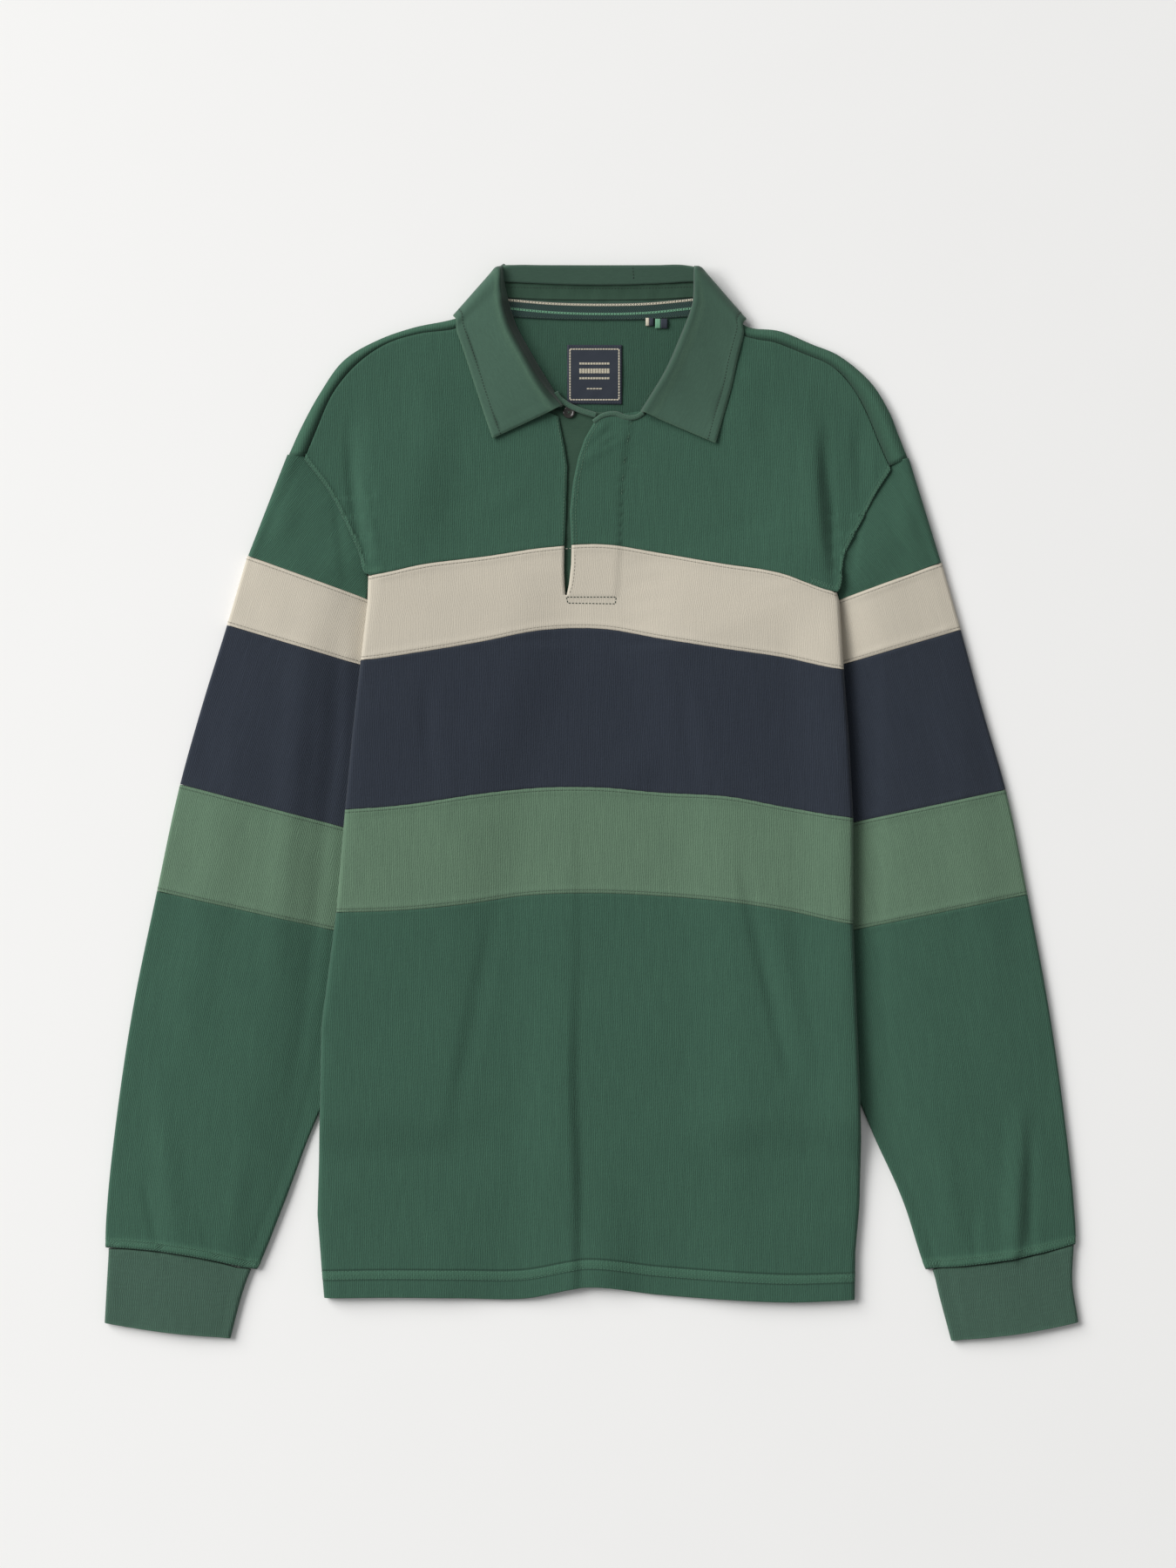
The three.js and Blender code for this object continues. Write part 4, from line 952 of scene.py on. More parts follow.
def body_band(name, upper, lower, stitched_band, layer, gap):
    """One band of the front (layer 0) or the back (layer 1), from seam to seam and folded under at both sides."""
    long = float(np.mean(np.array(SEAMS[upper]) - np.array(SEAMS[lower])))
    slit_row = (190 - SLIT_FOOT) / 62 * long if name == "stone" and layer == 0 else None
    down = steps(long - 2 * SEAM_GAP, gap) + SEAM_GAP
    if name == "lower":
        extra = long - np.array(HEM_ROWS)
        down = np.array(sorted([*down[(down < extra[0] - 1) | (down > extra[-1] + 1)], *extra]))
    if slit_row:
        down = np.array(sorted([*down[np.abs(down - slit_row) > 0.8], slit_row]))
    across = (8, int(146 / gap), int(202 / gap))
    rows = []
    for d in down:
        t = d / long
        relief = seam_relief(d, stitched_band)
        if name == "lower":
            from_hem = long - d
            relief = seam_relief(d, False) + 0.55 * fading((from_hem - 18) / 3)
            relief -= 0.3 * fading(from_hem / 1.2)
            relief -= 0.2 * sum(float(fading(abs(from_hem - at) / 0.8)) for at in (14, 19.5))
        else:
            relief += seam_relief(long - d, stitched_band)
        near = math.exp(-min(d, long - d) / 4)
        xs = np.linspace(0, 380, sum(across[1:]))
        pucker = 0.14 * near * wander(xs, d * 2, 15, 3 + layer)
        rows.append(body_row(lambda s, t=t: mix(seam_height(upper, s), seam_height(lower, s), t), layer, across,
                             relief + pucker if layer == 0 else 0.3 * relief))
    grid = np.array(rows)
    edge = np.minimum(down, long - down)
    if name == "lower":
        edge = np.minimum(down + 3, (long - down) * 0.8)
    worn = 0.8 * fading(edge / 1.6)
    # Painted shade in the seams at both edges and along the topstitch lines; at the hem in its seam and beside the
    # coverstitch band
    insets = (TOPSTITCH,) if stitched_band else ()
    deep = np.maximum(painted_line_shade(down, insets), painted_line_shade(long - down, insets))
    if name == "lower":
        worn = np.maximum(worn, band_mark(long - down, 13.9, 19.6))
        deep = np.maximum(painted_line_shade(down, ()), painted_line_shade(long - down, (13.1, 20.8), 0.75, 0.9))
        deep[long - down < 2] = 0
    worn, deep = spread(worn, grid), spread(deep, grid)
    distance, _ = distances(grid)
    uv = np.stack([distance - distance[:, grid.shape[1] // 2][:, None], -grid[:, :, 1]], axis=2)
    side = "front" if layer == 0 else "back"
    drop = None
    if slit_row:
        def drop(x, y, z):
            return y > SLIT_FOOT and read(SLIT_EDGE, y) < x < read(FLY_EDGE, y) and z > 3
    colour = "green" if name == "lower" else name
    return cloth(f"{side}_{name}_cloth", grid, sizes().jersey / MM, finish(colour),
                 [f"{side}_{name}"], uv, worn, outward=-1, drop=drop, deep=deep)


STONE_LEFT, STONE_RIGHT = float(read(LEFT_EDGE, LEFT_CORNER)), float(read(RIGHT_EDGE, RIGHT_CORNER))


def stone_seam(x):
    """Height of the stone band's top seam."""
    return seam_height("stone_top", (x - STONE_LEFT) / (STONE_RIGHT - STONE_LEFT))


def upper_base(base):
    """Point at the foot of a line of the upper body, and whether it stands on the stone band's seam."""
    x, y = base
    seam = float(stone_seam(x))
    beside = x < STONE_LEFT - 1 or x > STONE_RIGHT + 0.5 or y > seam + 6
    return (x, (y if beside else seam) + 2 * SEAM_GAP), not beside


def front_upper(lines, side):
    """Half of the front above the stone band, from its shoulder and neck seams down."""
    seam = np.array([line[0] for line in lines], float)
    based = [upper_base(line[2]) for line in lines]
    base = np.array([b[0] for b in based], float)
    run = np.concatenate([[0], np.cumsum(np.maximum(np.diff(run_along(seam)), np.diff(run_along(base))))])
    at = steps(run[-1], 2.6, (0.6, 1.3, 2.2, 3.4))
    seam, base = through(run, seam, at), through(run, base, at)
    on_seam = np.interp(at, run, [float(b[1]) for b in based]) > 0.999
    base[on_seam, 1] = stone_seam(base[on_seam, 0]) + 2 * SEAM_GAP
    length = np.linalg.norm(seam - base, axis=1)[None]
    long = float(length.max())
    down = steps(long, 2.6) / long
    grid = np.zeros((len(down), len(at), 3))
    grid[:, :, :2] = seam[None] + (base - seam)[None] * down[:, None, None]
    if side == "left":
        pull = smooth((at - run[-2]) / (run[-1] - run[-2]))
        wanted, straight = read(SLIT_EDGE, grid[:, -1, 1]), grid[:, -1, 0]
    else:
        pull = fading(at / (run[1] * 0.9))
        wanted, straight = read(FLY_EDGE, grid[:, 0, 1]), grid[:, 0, 0]
    grid[:, :, 0] += (wanted - straight)[:, None] * pull[None]
    x, y = grid[:, :, 0], grid[:, :, 1]
    from_base, from_seam = (1 - down)[:, None] * length, down[:, None] * length
    armhole = (~on_seam)[None]
    band = 0.3 * smooth(from_base / 1.4) * fading((from_base - 6) / 3) - 0.3 * fading(from_base / 1.2)
    relief = np.where(armhole, band, seam_relief(from_base, False))
    relief = relief - 0.28 * fading(from_seam / 2.2)
    slit = np.where(side == "left", at[-1] - at, at)[None]
    roll = -0.5 * fading(slit / 1.6) + 0.25 * smooth(slit / 1.5) * fading((slit - 2.6) / 2)
    pucker = 0.14 * np.exp(-np.minimum(from_base, from_seam) / 5) * wander(x, y, 15, 5)
    grid[:, :, 2] = front_height(x, y) + relief + roll + pucker
    worn = 0.7 * fading(np.minimum(np.minimum(from_base, from_seam), slit * np.ones_like(x)) / 1.8)
    uv = np.stack([x, -y], axis=2)
    worn = np.maximum(worn, 0.85 * armhole * band_mark(from_base, 1.2, 4.9))
    # Painted shade along the armhole seam and its stitch rows, at the neck and shoulder seam, and beside the fly's
    # stitches
    clear = smooth((y - (174 if side == "left" else 162)) / 7)
    deep = np.where(armhole, clear * painted_line_shade(from_base, (0.6, 6.2), 0.5), painted_line_shade(from_base, ()))
    deep = np.maximum(deep, 0.5 * painted_line_shade(from_seam, ()))
    if side == "right":
        fly_line = fading(np.abs(x - read(FLY_STITCH, y)) / 0.9) * (y < 281)
        deep = np.maximum(deep, 0.45 * fly_line)
    return cloth(f"front_upper_{side}_cloth", grid, sizes().jersey / MM, finish("green"),
                 [f"front_upper_{side}"], uv, worn, outward=-1, deep=deep)


def back_upper():
    """The back above the stone band, turned over the shoulders to the seam in front of them."""
    columns = []
    for seam, start, base, folded in LEFT_UPPER + RIGHT_UPPER:
        seam, start, base = vector(*seam), vector(*start), vector(*upper_base(base)[0])
        reach = np.linalg.norm(base - start)

        def on_back(share):
            x, y = start + (base - start) * share
            return x, y, float(back_height(x, y))

        down = [on_back(share) for share in (0.28, 0.46, 0.75, 0.9, 1)]
        if not folded:
            columns.append([on_back(distance / reach) for distance in (0, 0.8, 1.6, 2.4, 3.4)] + down)
            continue
        low, high = float(back_height(*start)), float(front_rest(*seam))
        half = (high - low) / 2
        sx, sy = mix(seam, start, 0.03)
        first = [(sx, sy, high - 0.2)]
        for angle, out in ((60, 0.5), (0, 1), (-60, 0.5)):
            x, y = start + (base - start) * (JERSEY_HALF + half * (1 - out)) / reach
            first.append((x, y, low + half + half * math.sin(math.radians(angle))))
        x, y = start + (base - start) * (JERSEY_HALF + half + 1) / reach
        columns.append(first + [(x, y, low)] + down)
    control = np.array(columns).transpose(1, 0, 2)
    stations = mean_run(control)
    rows = np.concatenate([np.linspace(0, stations[5], 16)[:-1], np.linspace(stations[5], stations[-1], 48)])
    grid = refine(control, rows, gap=3.2)
    x, y = grid[:, :, 0], grid[:, :, 1]
    flat = smooth((rows - stations[5]) / 20)[:, None]
    grid[:, :, 2] += flat * (folds(x, y, BACK_FOLDS) + 0.2 * (wander(x, y, 80, 2) + 0.6)) * (1 - raised(x, y))
    worn = spread(0.8 * fading(rows / 1.5), grid)
    uv = np.stack([x, -y], axis=2)
    # Painted shade darkens the inside of the back in the neck opening, under the collar
    aside = np.abs(x - NECK_MIDDLE)
    deep = 0.26 * smooth((y - 276) / 14) * fading((aside - 66) / 10) * smooth((rows - 12) / 4)[:, None]
    shoulder = smooth((aside - 84) / 6)
    worn = np.maximum(worn, 0.9 * shoulder * band_mark(rows, 1.4, 8.2)[:, None])
    # Painted shade along the shoulder seam's outer stitch row
    deep = np.maximum(deep, shoulder * painted_line_shade(rows, (9.4,), 0.5)[:, None])
    return cloth("back_upper_cloth", grid, sizes().jersey / MM, finish("green"), ["back_upper"], uv,
                 worn, outward=-1, deep=deep)


# Sleeves

SLEEVE_BANDS = (("stone", "stone_top", "stone_bottom", "stone", True),
                ("navy", "stone_bottom", "sage_top", "navy", False),
                ("sage", "sage_top", "sage_bottom", "sage", True), ("lower", "sage_bottom", "cuff_top", "green", False))


def sleeve_stations(lines):
    """The lines across a sleeve as rows of numbers, and their distances down the sleeve."""
    data = np.array(list(lines.values()), float)
    middle = (data[:, 0:2] + data[:, 2:4]) / 2
    return data, run_along(middle)


def sleeve_piece(name, side, lines, first, last, colour, wall, stitched_band):
    """One band of a sleeve, or its cuff, as a flattened tube between two of its lines."""
    data, stations = sleeve_stations(lines)
    keys = list(lines)
    start, end = stations[keys.index(first)], stations[keys.index(last)]
    long = end - start - 2 * SEAM_GAP
    down = steps(long, 2.8)
    rows = through(stations, data, start + SEAM_GAP + down)
    puff = 2.9 if colour != "rib" else 1.0
    rest = wall / 2
    grid = []
    for d, row in zip(down, rows):
        outer, edge, inner, sag, low = row[0:2], row[2:4], row[4:6], row[6], row[7]
        seen, hidden = np.linalg.norm(edge - outer), np.linalg.norm(inner - edge)
        outer_half, inner_half = (SLEEVE_TOP - rest) / 2, (low - rest) / 2
        begin, stop = (rest + outer_half) / seen, 1 - (rest + inner_half) / hidden

        def visible(share, z):
            share = np.asarray(share, float)
            point = outer[None] + (edge - outer)[None] * share[:, None]
            return np.column_stack([point[:, 0], point[:, 1] + 4 * sag * share * (1 - share), z])

        def covered(share, z):
            share = np.asarray(share, float)
            point = edge[None] + (inner - edge)[None] * share[:, None]
            return np.column_stack([point, np.broadcast_to(z, share.shape)])

        outer_turn = visible(begin - outer_half * np.cos(TURN) / seen, rest + outer_half * (1 + np.sin(TURN)))
        over = np.linspace(begin, 1, 40)
        z = SLEEVE_TOP + puff * np.sin(np.pi * np.clip((over - begin) / (1 - begin), 0, 1) ** 1.35) ** 0.8
        z = z - (SLEEVE_TOP - low) * smooth((over - 0.68) / 0.32)
        top = visible(over, z)
        edge_relief = seam_relief(d, stitched_band) + seam_relief(long - d, stitched_band)
        if colour == "green":
            edge_relief += 0.5 * band_mark(long - d, 0.6, 6.8)
        if colour == "rib":
            edge_relief = -0.45 * fading(d / 2) + 0.25 * fading((end - start - d) / 3)
        inside = smooth((over - begin) / 0.1) * smooth((1 - over) / 0.1)
        loose = folds(top[:, 0], top[:, 1], SLEEVE_FOLDS[side]) * (0.35 if colour == "rib" else 1)
        loose = loose + 0.35 * (wander(top[:, 0], top[:, 1] * 0.7, 62, 4) + 0.3) + edge_relief
        loose = loose + 0.2 * math.exp(-min(d, end - start - d) / 5) * wander(top[:, 0], top[:, 1], 14, 6)
        top[:, 2] = np.maximum(top[:, 2] + loose * inside, rest * 3 + 0.35)
        hidden_top = covered(np.linspace(0, stop, 9)[1:], low)
        back = TURN[::-1]
        inner_turn = covered(stop + inner_half * np.cos(back) / hidden, rest + inner_half * (1 + np.sin(back)))
        below = np.concatenate([covered(np.linspace(stop, 0, 8), rest),
                                visible(np.linspace(1, begin, 22), np.full(22, rest))[1:]])
        ring = np.concatenate([outer_turn, top, hidden_top, inner_turn, below])
        grid.append(np.concatenate([ring, ring[:1]]))
    grid = np.array(grid)
    across, _ = distances(grid)
    uv = np.stack([across, spread(start + down, grid)], axis=2)
    edge = np.minimum(down, long - down)
    worn = 0.8 * fading(edge / 1.6)
    # Painted shade in the seams and along the stitch lines, and beside the cuff's coverstitch band
    insets = (TOPSTITCH,) if stitched_band else ()
    deep = painted_line_shade(end - start - down, insets)
    if colour == "green":
        worn = np.maximum(worn, band_mark(long - down, 1.3, 6.5))
        deep = painted_line_shade(long - down, (0.5, 7.7), 0.8, 0.9)
    deep = np.maximum(painted_line_shade(down, insets), deep)
    if colour == "rib":
        deep[end - start - down < 3] = 0
    worn, deep = spread(worn, grid), spread(deep, grid)
    return cloth(f"{name}_{side}_cloth", grid, wall, finish(colour), [f"{name}_{side}"], uv, worn, deep=deep,
                 round_row=True, outward=-1 if side == "left" else 1)


def sleeve_cap(side):
    """What shows of the sleeve above its stone band, from the armhole down and folded under."""
    lines = LEFT_SLEEVE if side == "left" else RIGHT_SLEEVE
    upper = LEFT_UPPER[4::-1] if side == "left" else RIGHT_UPPER[8:]
    tip, end = ((-224.3, 255.9), (-163.5, 160.5)) if side == "left" else ((233.9, 253.4), (180.5, 157.5))
    away = (1.1, 0.5) if side == "left" else (-1.1, 0.5)
    corner = (-211, 255.2) if side == "left" else (219.7, 248.2)
    row = np.array(lines["stone_top"], float)
    outer, edge, low = row[0:2], row[2:4], row[7]
    seen = float(np.linalg.norm(edge - outer))
    shares = (1.0, 0.86, 0.68, 0.5, 0.3, 0.1)
    armhole = [np.array(end)] + [np.array(line[2]) + away for line in upper]

    def low_edge(share):
        return outer + (edge - outer) * share + (0, 0.15)

    columns = []

    def add(top, bottom, z_top, z_bottom, puff):
        column = []
        for t in (0, 0.2, 0.4, 0.6, 0.8, 1):
            x, y = mix(top, bottom, t)
            column.append((x, y, mix(z_top, z_bottom, t) + puff * math.sin(math.pi * t)))
        columns.append(column)

    for k, top in enumerate(armhole):
        z = 2.3 if k == 0 else float(front_height(*top)) - 1.95
        share = (min(shares[k], 0.97) - 0.04) / 0.96
        z_low = SLEEVE_TOP + 2.1 * max(0, math.sin(math.pi * share)) ** 0.8
        z_low -= (SLEEVE_TOP - low) * float(smooth((shares[k] - 0.55) / 0.45))
        add(top, low_edge(shares[k]), z, z_low, 0 if k < 2 else 1.4)
    add(np.array(corner), low_edge(0.07), float(front_height(*corner)) - 1.9, 4.9, 1.0)
    half = (SLEEVE_TOP - JERSEY_HALF) / 2
    for degrees in (60, 30, 0, -30, -60):
        angle = math.radians(degrees)
        inset = JERSEY_HALF + half * (1 - math.cos(angle))
        z = JERSEY_HALF + half * (1 + math.sin(angle))
        add(np.array([tip[0] - inset * np.sign(tip[0]), tip[1]]), low_edge(inset / seen), z, z, 0)
    for top, share in [(np.array(corner), 0.07)] + list(zip(armhole, shares))[::-1]:
        add(top, low_edge(share), JERSEY_HALF, JERSEY_HALF, 0)
    control = np.array(columns).transpose(1, 0, 2)
    grid = refine(control, steps(mean_run(control)[-1], 2.6, (0.6, 1.2, 2, 3, 4.2, 6)), gap=2.6)
    x, y, z = grid[:, :, 0], grid[:, :, 1], grid[:, :, 2]
    ends = (smooth(np.arange(len(grid)) / 8) * smooth((len(grid) - 1 - np.arange(len(grid))) / 8))[:, None]
    above = smooth((z - 2.6) / 1.0)
    loose = folds(x, y, CAP_FOLDS[side]) + 0.3 * (wander(x, y, 55, 7) + 0.3)
    grid[:, :, 2] = z + above * ends * loose
    angle = math.atan2(outer[1] - 250, outer[0] - (-200 if side == "left" else 200)) + math.pi / 2
    uv = np.stack([x * math.cos(angle) + y * math.sin(angle), -x * math.sin(angle) + y * math.cos(angle)], axis=2)
    _, run = distances(grid)
    worn = 0.6 * fading(np.minimum(run, run[-1][None] - run) / 1.6)
    return cloth(f"sleeve_upper_{side}_cloth", grid, sizes().jersey / MM, finish("green"),
                 [f"sleeve_upper_{side}"], uv, worn, outward=-1 if side == "left" else 1)


# Collar

# Stations round the roll: angle at the back, angle on a leaf, share of the way down to the cloth
ROLL = ((30, 25, 0), (60, 50, 0), (90, 75, 0.03), (120, 88, 0.15), (150, 90, 0.45), (180, 92, 1))
LEAF_TOP, BACK_TOP = 14.5, 5.6          # height of the roll on the leaves and at the back
LYING_TOP = 7.4                         # highest that a leaf's outer edge lies
LEAF_CURL, BACK_CURL = 1.3, 1.7         # radius of the roll
LEFT_LEAN, RIGHT_LEAN = 4.5, 1.5        # lean of the leaves' inner walls
COLLAR_STITCH = 6.4                     # distance of the topstitches from the collar's outer edge
LEFT_OUT = 2.2                          # how far the left leaf's roll stands back for its lean


def collar_row(outer, roll, outside, outer_height, roll_height, curl, front=1.0, lean=0.0):
    """Section of the collar: from its outer edge up to the roll, over it, and down inside the neck.

    front is 1 on a leaf, 0 at the back; lean is how far the inner wall leans into the neck."""
    outer, roll, outside = np.array(outer, float), np.array(roll, float), np.array(outside, float)
    run = float(np.linalg.norm(roll - outer))
    forward = (roll - outer) / run
    reach = (TWILL_HALF + curl) / run
    points = []
    for share in (0, 0.3, 0.65, 0.9, 1):
        t = share * (1 - reach)
        x, y = mix(outer, roll, t)
        points.append((x, y, mix(outer_height, roll_height, t ** 1.25)))
    start = np.array(points[-1])
    floor = float(back_height(start[0], start[1])) + 1.9
    for angle, steep, drop in ROLL:
        a = math.radians(mix(angle, steep, front))
        ahead, inward = curl * math.sin(a), curl * (1 - math.cos(a))
        ahead += lean * drop
        point = start + np.array([forward[0] * ahead, forward[1] * ahead, 0]) - outside * inward
        point[2] = mix(point[2], mix(point[2], floor, drop), front)
        points.append(tuple(point))
    last = np.array(points[-1])
    for share in (0.25, 0.6, 1.0):
        back = share * mix(12.2, 2.0, front)
        points.append((last[0] - forward[0] * back, last[1] - forward[1] * back, last[2] - share * 1.3 * (1 - front)))
    return points


def collar_turn(turn, degrees):
    """Sections where the collar folds over beside the neck, from its leaf to its back."""
    rows = []
    outer, roll, away = (np.array(part, float) for part in turn)
    for angle in degrees:
        a = math.radians(angle)
        outer_half, roll_half = (LYING_TOP - TWILL_HALF) / 2, (LEAF_TOP - BACK_TOP) / 2
        front = (1 + math.sin(a)) / 2
        shift = [half * (math.cos(a) - 1) - TWILL_HALF for half in (outer_half, roll_half)]
        left = away[0] < 0
        out = (outer - roll) / np.linalg.norm(outer - roll) * (LEFT_OUT * front if left else 0)
        rows.append(collar_row(outer + away * shift[0], roll + out + (away[0] * shift[1], 0),
                               (away[0] * math.cos(a), away[1] * math.cos(a), math.sin(a)),
                               TWILL_HALF + outer_half * (1 + math.sin(a)),
                               BACK_TOP + roll_half * (1 + math.sin(a)), mix(BACK_CURL, LEAF_CURL, front), front,
                               (LEFT_LEAN if left else RIGHT_LEAN) * front))
    return rows


def collar_fall():
    """The fall of the collar: left leaf, back and right leaf, rolled over into the neck."""
    def leaf(lines):
        """Sections of one leaf."""
        rows = []
        for k, (outer, roll) in enumerate(lines):
            aside = 0.35 if k == 0 else 1.0
            left = roll[0] < NECK_MIDDLE
            lean = (LEFT_LEAN if left else RIGHT_LEAN) * aside
            if left:
                out = vector(*outer) - vector(*roll)
                roll = tuple(np.array(roll) + out / np.linalg.norm(out) * LEFT_OUT * aside)
            lying = min(float(front_rest(*outer)) + JERSEY_HALF + 0.35 + TWILL_HALF + 0.6, LYING_TOP)
            near = float(smooth((roll[1] - 284) / 40))
            rows.append(collar_row(outer, roll, (0, 0, 1), lying, mix(10.2, LEAF_TOP, near), LEAF_CURL, 1.0, lean))
        return rows

    rows = leaf(LEFT_COLLAR) + collar_turn(LEFT_TURN, (60, 30, 0, -30, -60))
    rows += [collar_row(outer, roll, (0, 0, -1), TWILL_HALF, BACK_TOP, BACK_CURL, 0.0) for outer, roll in BACK_COLLAR]
    rows += collar_turn(RIGHT_TURN, (-60, -30, 0, 30, 60)) + leaf(RIGHT_COLLAR)
    control = np.array(rows)
    wide = mean_run(control.transpose(1, 0, 2))[-1]
    across = np.concatenate([steps(wide * 0.86, 2.2)[:-3], np.linspace(wide * 0.86, wide, 14)])
    grid = refine(control, steps(mean_run(control)[-1], 2.2), across)
    x, y, z = grid[:, :, 0], grid[:, :, 1], grid[:, :, 2]
    run, down = distances(grid)
    above = smooth((z - 5.2) / 1.2)
    ends = np.minimum(down, down[-1][None] - down)
    edge = np.minimum(ends, run)
    relief = -0.55 * fading(edge / 1.6) + 0.25 * smooth(edge / 2) * fading((edge - 5.6) / 1.2)
    relief = relief - 0.22 * fading(np.abs(run - COLLAR_STITCH) / 0.9)
    flat = fading((run - run[:, -1][:, None] + 21) / 6)
    wave = 0.35 * wander(x, y, 46, 8) + 0.5 * smooth((z - 5) / 2) * np.sin(down / 34)
    tip = 1.1 * fading(np.hypot(run, ends) / 30)
    grid[:, :, 2] = z + above * flat * (relief + wave + tip)
    worn = np.maximum(fading(edge / 1.5), 0.55 * fading(np.abs(run[:, -1][:, None] - run - 17) / 4))
    # Painted shade along the topstitch line
    stitch_line = np.maximum(painted_line_shade(run, (COLLAR_STITCH,), 0.6) - painted_line_shade(run, ()), 0) * above
    # The inner wall lies in shade, more of it in the left leaf
    shaded = 0.35 + 0.55 * smooth((-x - 22) / 10) * smooth((374 - y) / 8)
    deep = np.maximum(stitch_line, shaded * smooth((run - run[:, -1][:, None] + 16) / 3))
    return cloth("collar_fall_cloth", grid, sizes().twill / MM, finish("collar"), ["collar_fall"],
                 worn=worn, deep=deep)


def between(first, second, shares, height, gap=2.0):
    """Grid between two lines of points, from one to the other."""
    lines = []
    for points in (first, second):
        points = np.array(points, float)
        lines.append((points, run_along(points)))
    count = max(2, int(max(run[-1] for _, run in lines) / gap)) + 1
    a, b = (through(run, points, np.linspace(0, run[-1], count)) for points, run in lines)
    plan = np.array([mix(a, b, t) for t in shares])
    z = height(plan[:, :, 0], plan[:, :, 1]) * np.ones(plan.shape[:2])
    return np.concatenate([plan, z[:, :, None]], axis=2)


def collar_stand():
    """What shows of the collar's stand inside the back neck, with its seams."""
    shares = np.linspace(0, 1, 15)
    grid = between([(-64, 385.4), (-36, 384.6), (6, 384.2), (48, 384.6), (75, 385.4)],
                   [(-65, 371.6), (-38, 370.2), (6, 369.6), (48, 370.2), (77, 371.8)], shares,
                   lambda x, y: mix(4.3, 6.1, smooth((y - 369) / 15)), 1.6)
    x, y = grid[:, :, 0], grid[:, :, 1]
    seam = np.abs(y - 382.3 - 0.8 * wander(x, 0 * x, 60, 2))
    grid[:, :, 2] += 0.5 * smooth((y - 383) / 3) - 0.35 * fading(seam / 1.2) + 0.3 * wander(x, y, 22, 3)
    grid[:, :, 2] -= 0.5 * fading(np.abs(x - 30.2 + (y - 385) * 0.1) / 1.3) * smooth((y - 381) / 2)
    above = y - y.min(axis=0)[None]
    worn = 0.5 * fading(np.minimum(seam, above) / 1.2)
    # Painted shade in the seam and along the stand's lower edge at the tape
    deep = np.maximum(0.65 * fading(seam / 0.8), 0.4 * fading(above))
    # The stand takes the darker copy of the collar twill, painted shade
    return cloth("collar_stand_cloth", grid, sizes().twill / MM, finish("shaded_twill"), ["collar_stand"],
                 worn=worn, outward=-1, deep=deep)


# Placket and neck

def binding(name, node, points, height, width):
    """Bound edge: a narrow rolled strip along points at the neck."""
    points = np.array(points, float)
    run = run_along(points)
    line = through(run, points, np.linspace(0, run[-1], int(run[-1] / 1.2) + 2))
    way = np.gradient(line, axis=0)
    aside = np.stack([way[:, 1], -way[:, 0]], axis=1) / np.linalg.norm(way, axis=1)[:, None]
    grid = []
    for share in np.linspace(-1, 1, 11):
        plan = line + aside * share * width / 2
        z = height(plan[:, 0], plan[:, 1]) + 0.75 * math.sqrt(max(0, 1 - share * share * 0.95)) - 0.5
        grid.append(np.column_stack([plan, z]))
    worn = np.tile(fading((1 - np.abs(np.linspace(-1, 1, 11))) / 0.25)[:, None], (1, len(line)))
    return cloth(name, np.array(grid), 0.9, finish("collar"), [node], worn=worn, outward=-1)


def button_piece():
    """Round button with a rim, turned from its profile, and its crossed thread."""
    bm = bmesh.new()
    profile = [(0, 1.5), (1.8, 1.5), (2.7, 1.75), (3.4, 2.1), (4, 2.15), (4.35, 1.7), (4.4, 1.1), (4.2, 0.45),
               (3.6, 0.05), (0, 0)]
    points = [bm.verts.new((x, 0, z)) for x, z in profile]
    for a, b in zip(points, points[1:]):
        bm.edges.new((a, b))
    bmesh.ops.spin(bm, geom=bm.verts[:] + bm.edges[:], cent=(0, 0, 0), axis=(0, 0, 1), angle=2 * math.pi, steps=40,
                   use_merge=True)
    bmesh.ops.remove_doubles(bm, verts=bm.verts, dist=1e-4)
    bmesh.ops.recalc_face_normals(bm, faces=bm.faces)
    bmesh.ops.scale(bm, vec=(MM, MM, MM), verts=bm.verts)
    bmesh.ops.translate(bm, vec=Vector((-16.6, 287.2, 3.1)) * MM, verts=bm.verts)
    mesh = bpy.data.meshes.new("button_shell")
    bm.to_mesh(mesh)
    bm.free()
    piece = placed("placket_button_shell", mesh, finish("shell"))
    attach(piece, "root")
    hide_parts("placket_button")
    up = np.array([0, 0, 1.0])
    marks = [(np.array([-16.6, 287.2, 4.75]), np.array([1.0, s, 0]), up, 3.4) for s in (-1, 1)]
    stitched("button_thread", marks, finish("green_thread"), 0.5)
    return piece


class SHIRT_OT_front(Operator):
    """Make the front: two upper halves beside the placket slit, three bands and the lower part with its hem"""
    bl_idname = "shirt.front"
    bl_label = "Front"

    def execute(self, context):
        for name, upper, lower, stitches in BANDS:
            body_band(name, upper, lower, stitches, 0, 2.5)
        front_upper(LEFT_UPPER, "left")
        front_upper(RIGHT_UPPER, "right")
        return {"FINISHED"}


class SHIRT_OT_back(Operator):
    """Make the back, with the part that passes over the shoulders"""
    bl_idname = "shirt.back"
    bl_label = "Back"

    def execute(self, context):
        for name, upper, lower, stitches in BANDS:
            body_band(name, upper, lower, stitches, 1, 4.5)
        back_upper()
        return {"FINISHED"}


class SHIRT_OT_sleeves(Operator):
    """Make both sleeves from cap to lower sleeve"""
    bl_idname = "shirt.sleeves"
    bl_label = "Sleeves"

    def execute(self, context):
        wall = sizes().jersey / MM
        for side, lines in (("left", LEFT_SLEEVE), ("right", RIGHT_SLEEVE)):
            sleeve_cap(side)
            for name, first, last, colour, stitches in SLEEVE_BANDS:
                sleeve_piece(f"sleeve_{name}", side, lines, first, last, colour, wall, stitches)
        return {"FINISHED"}


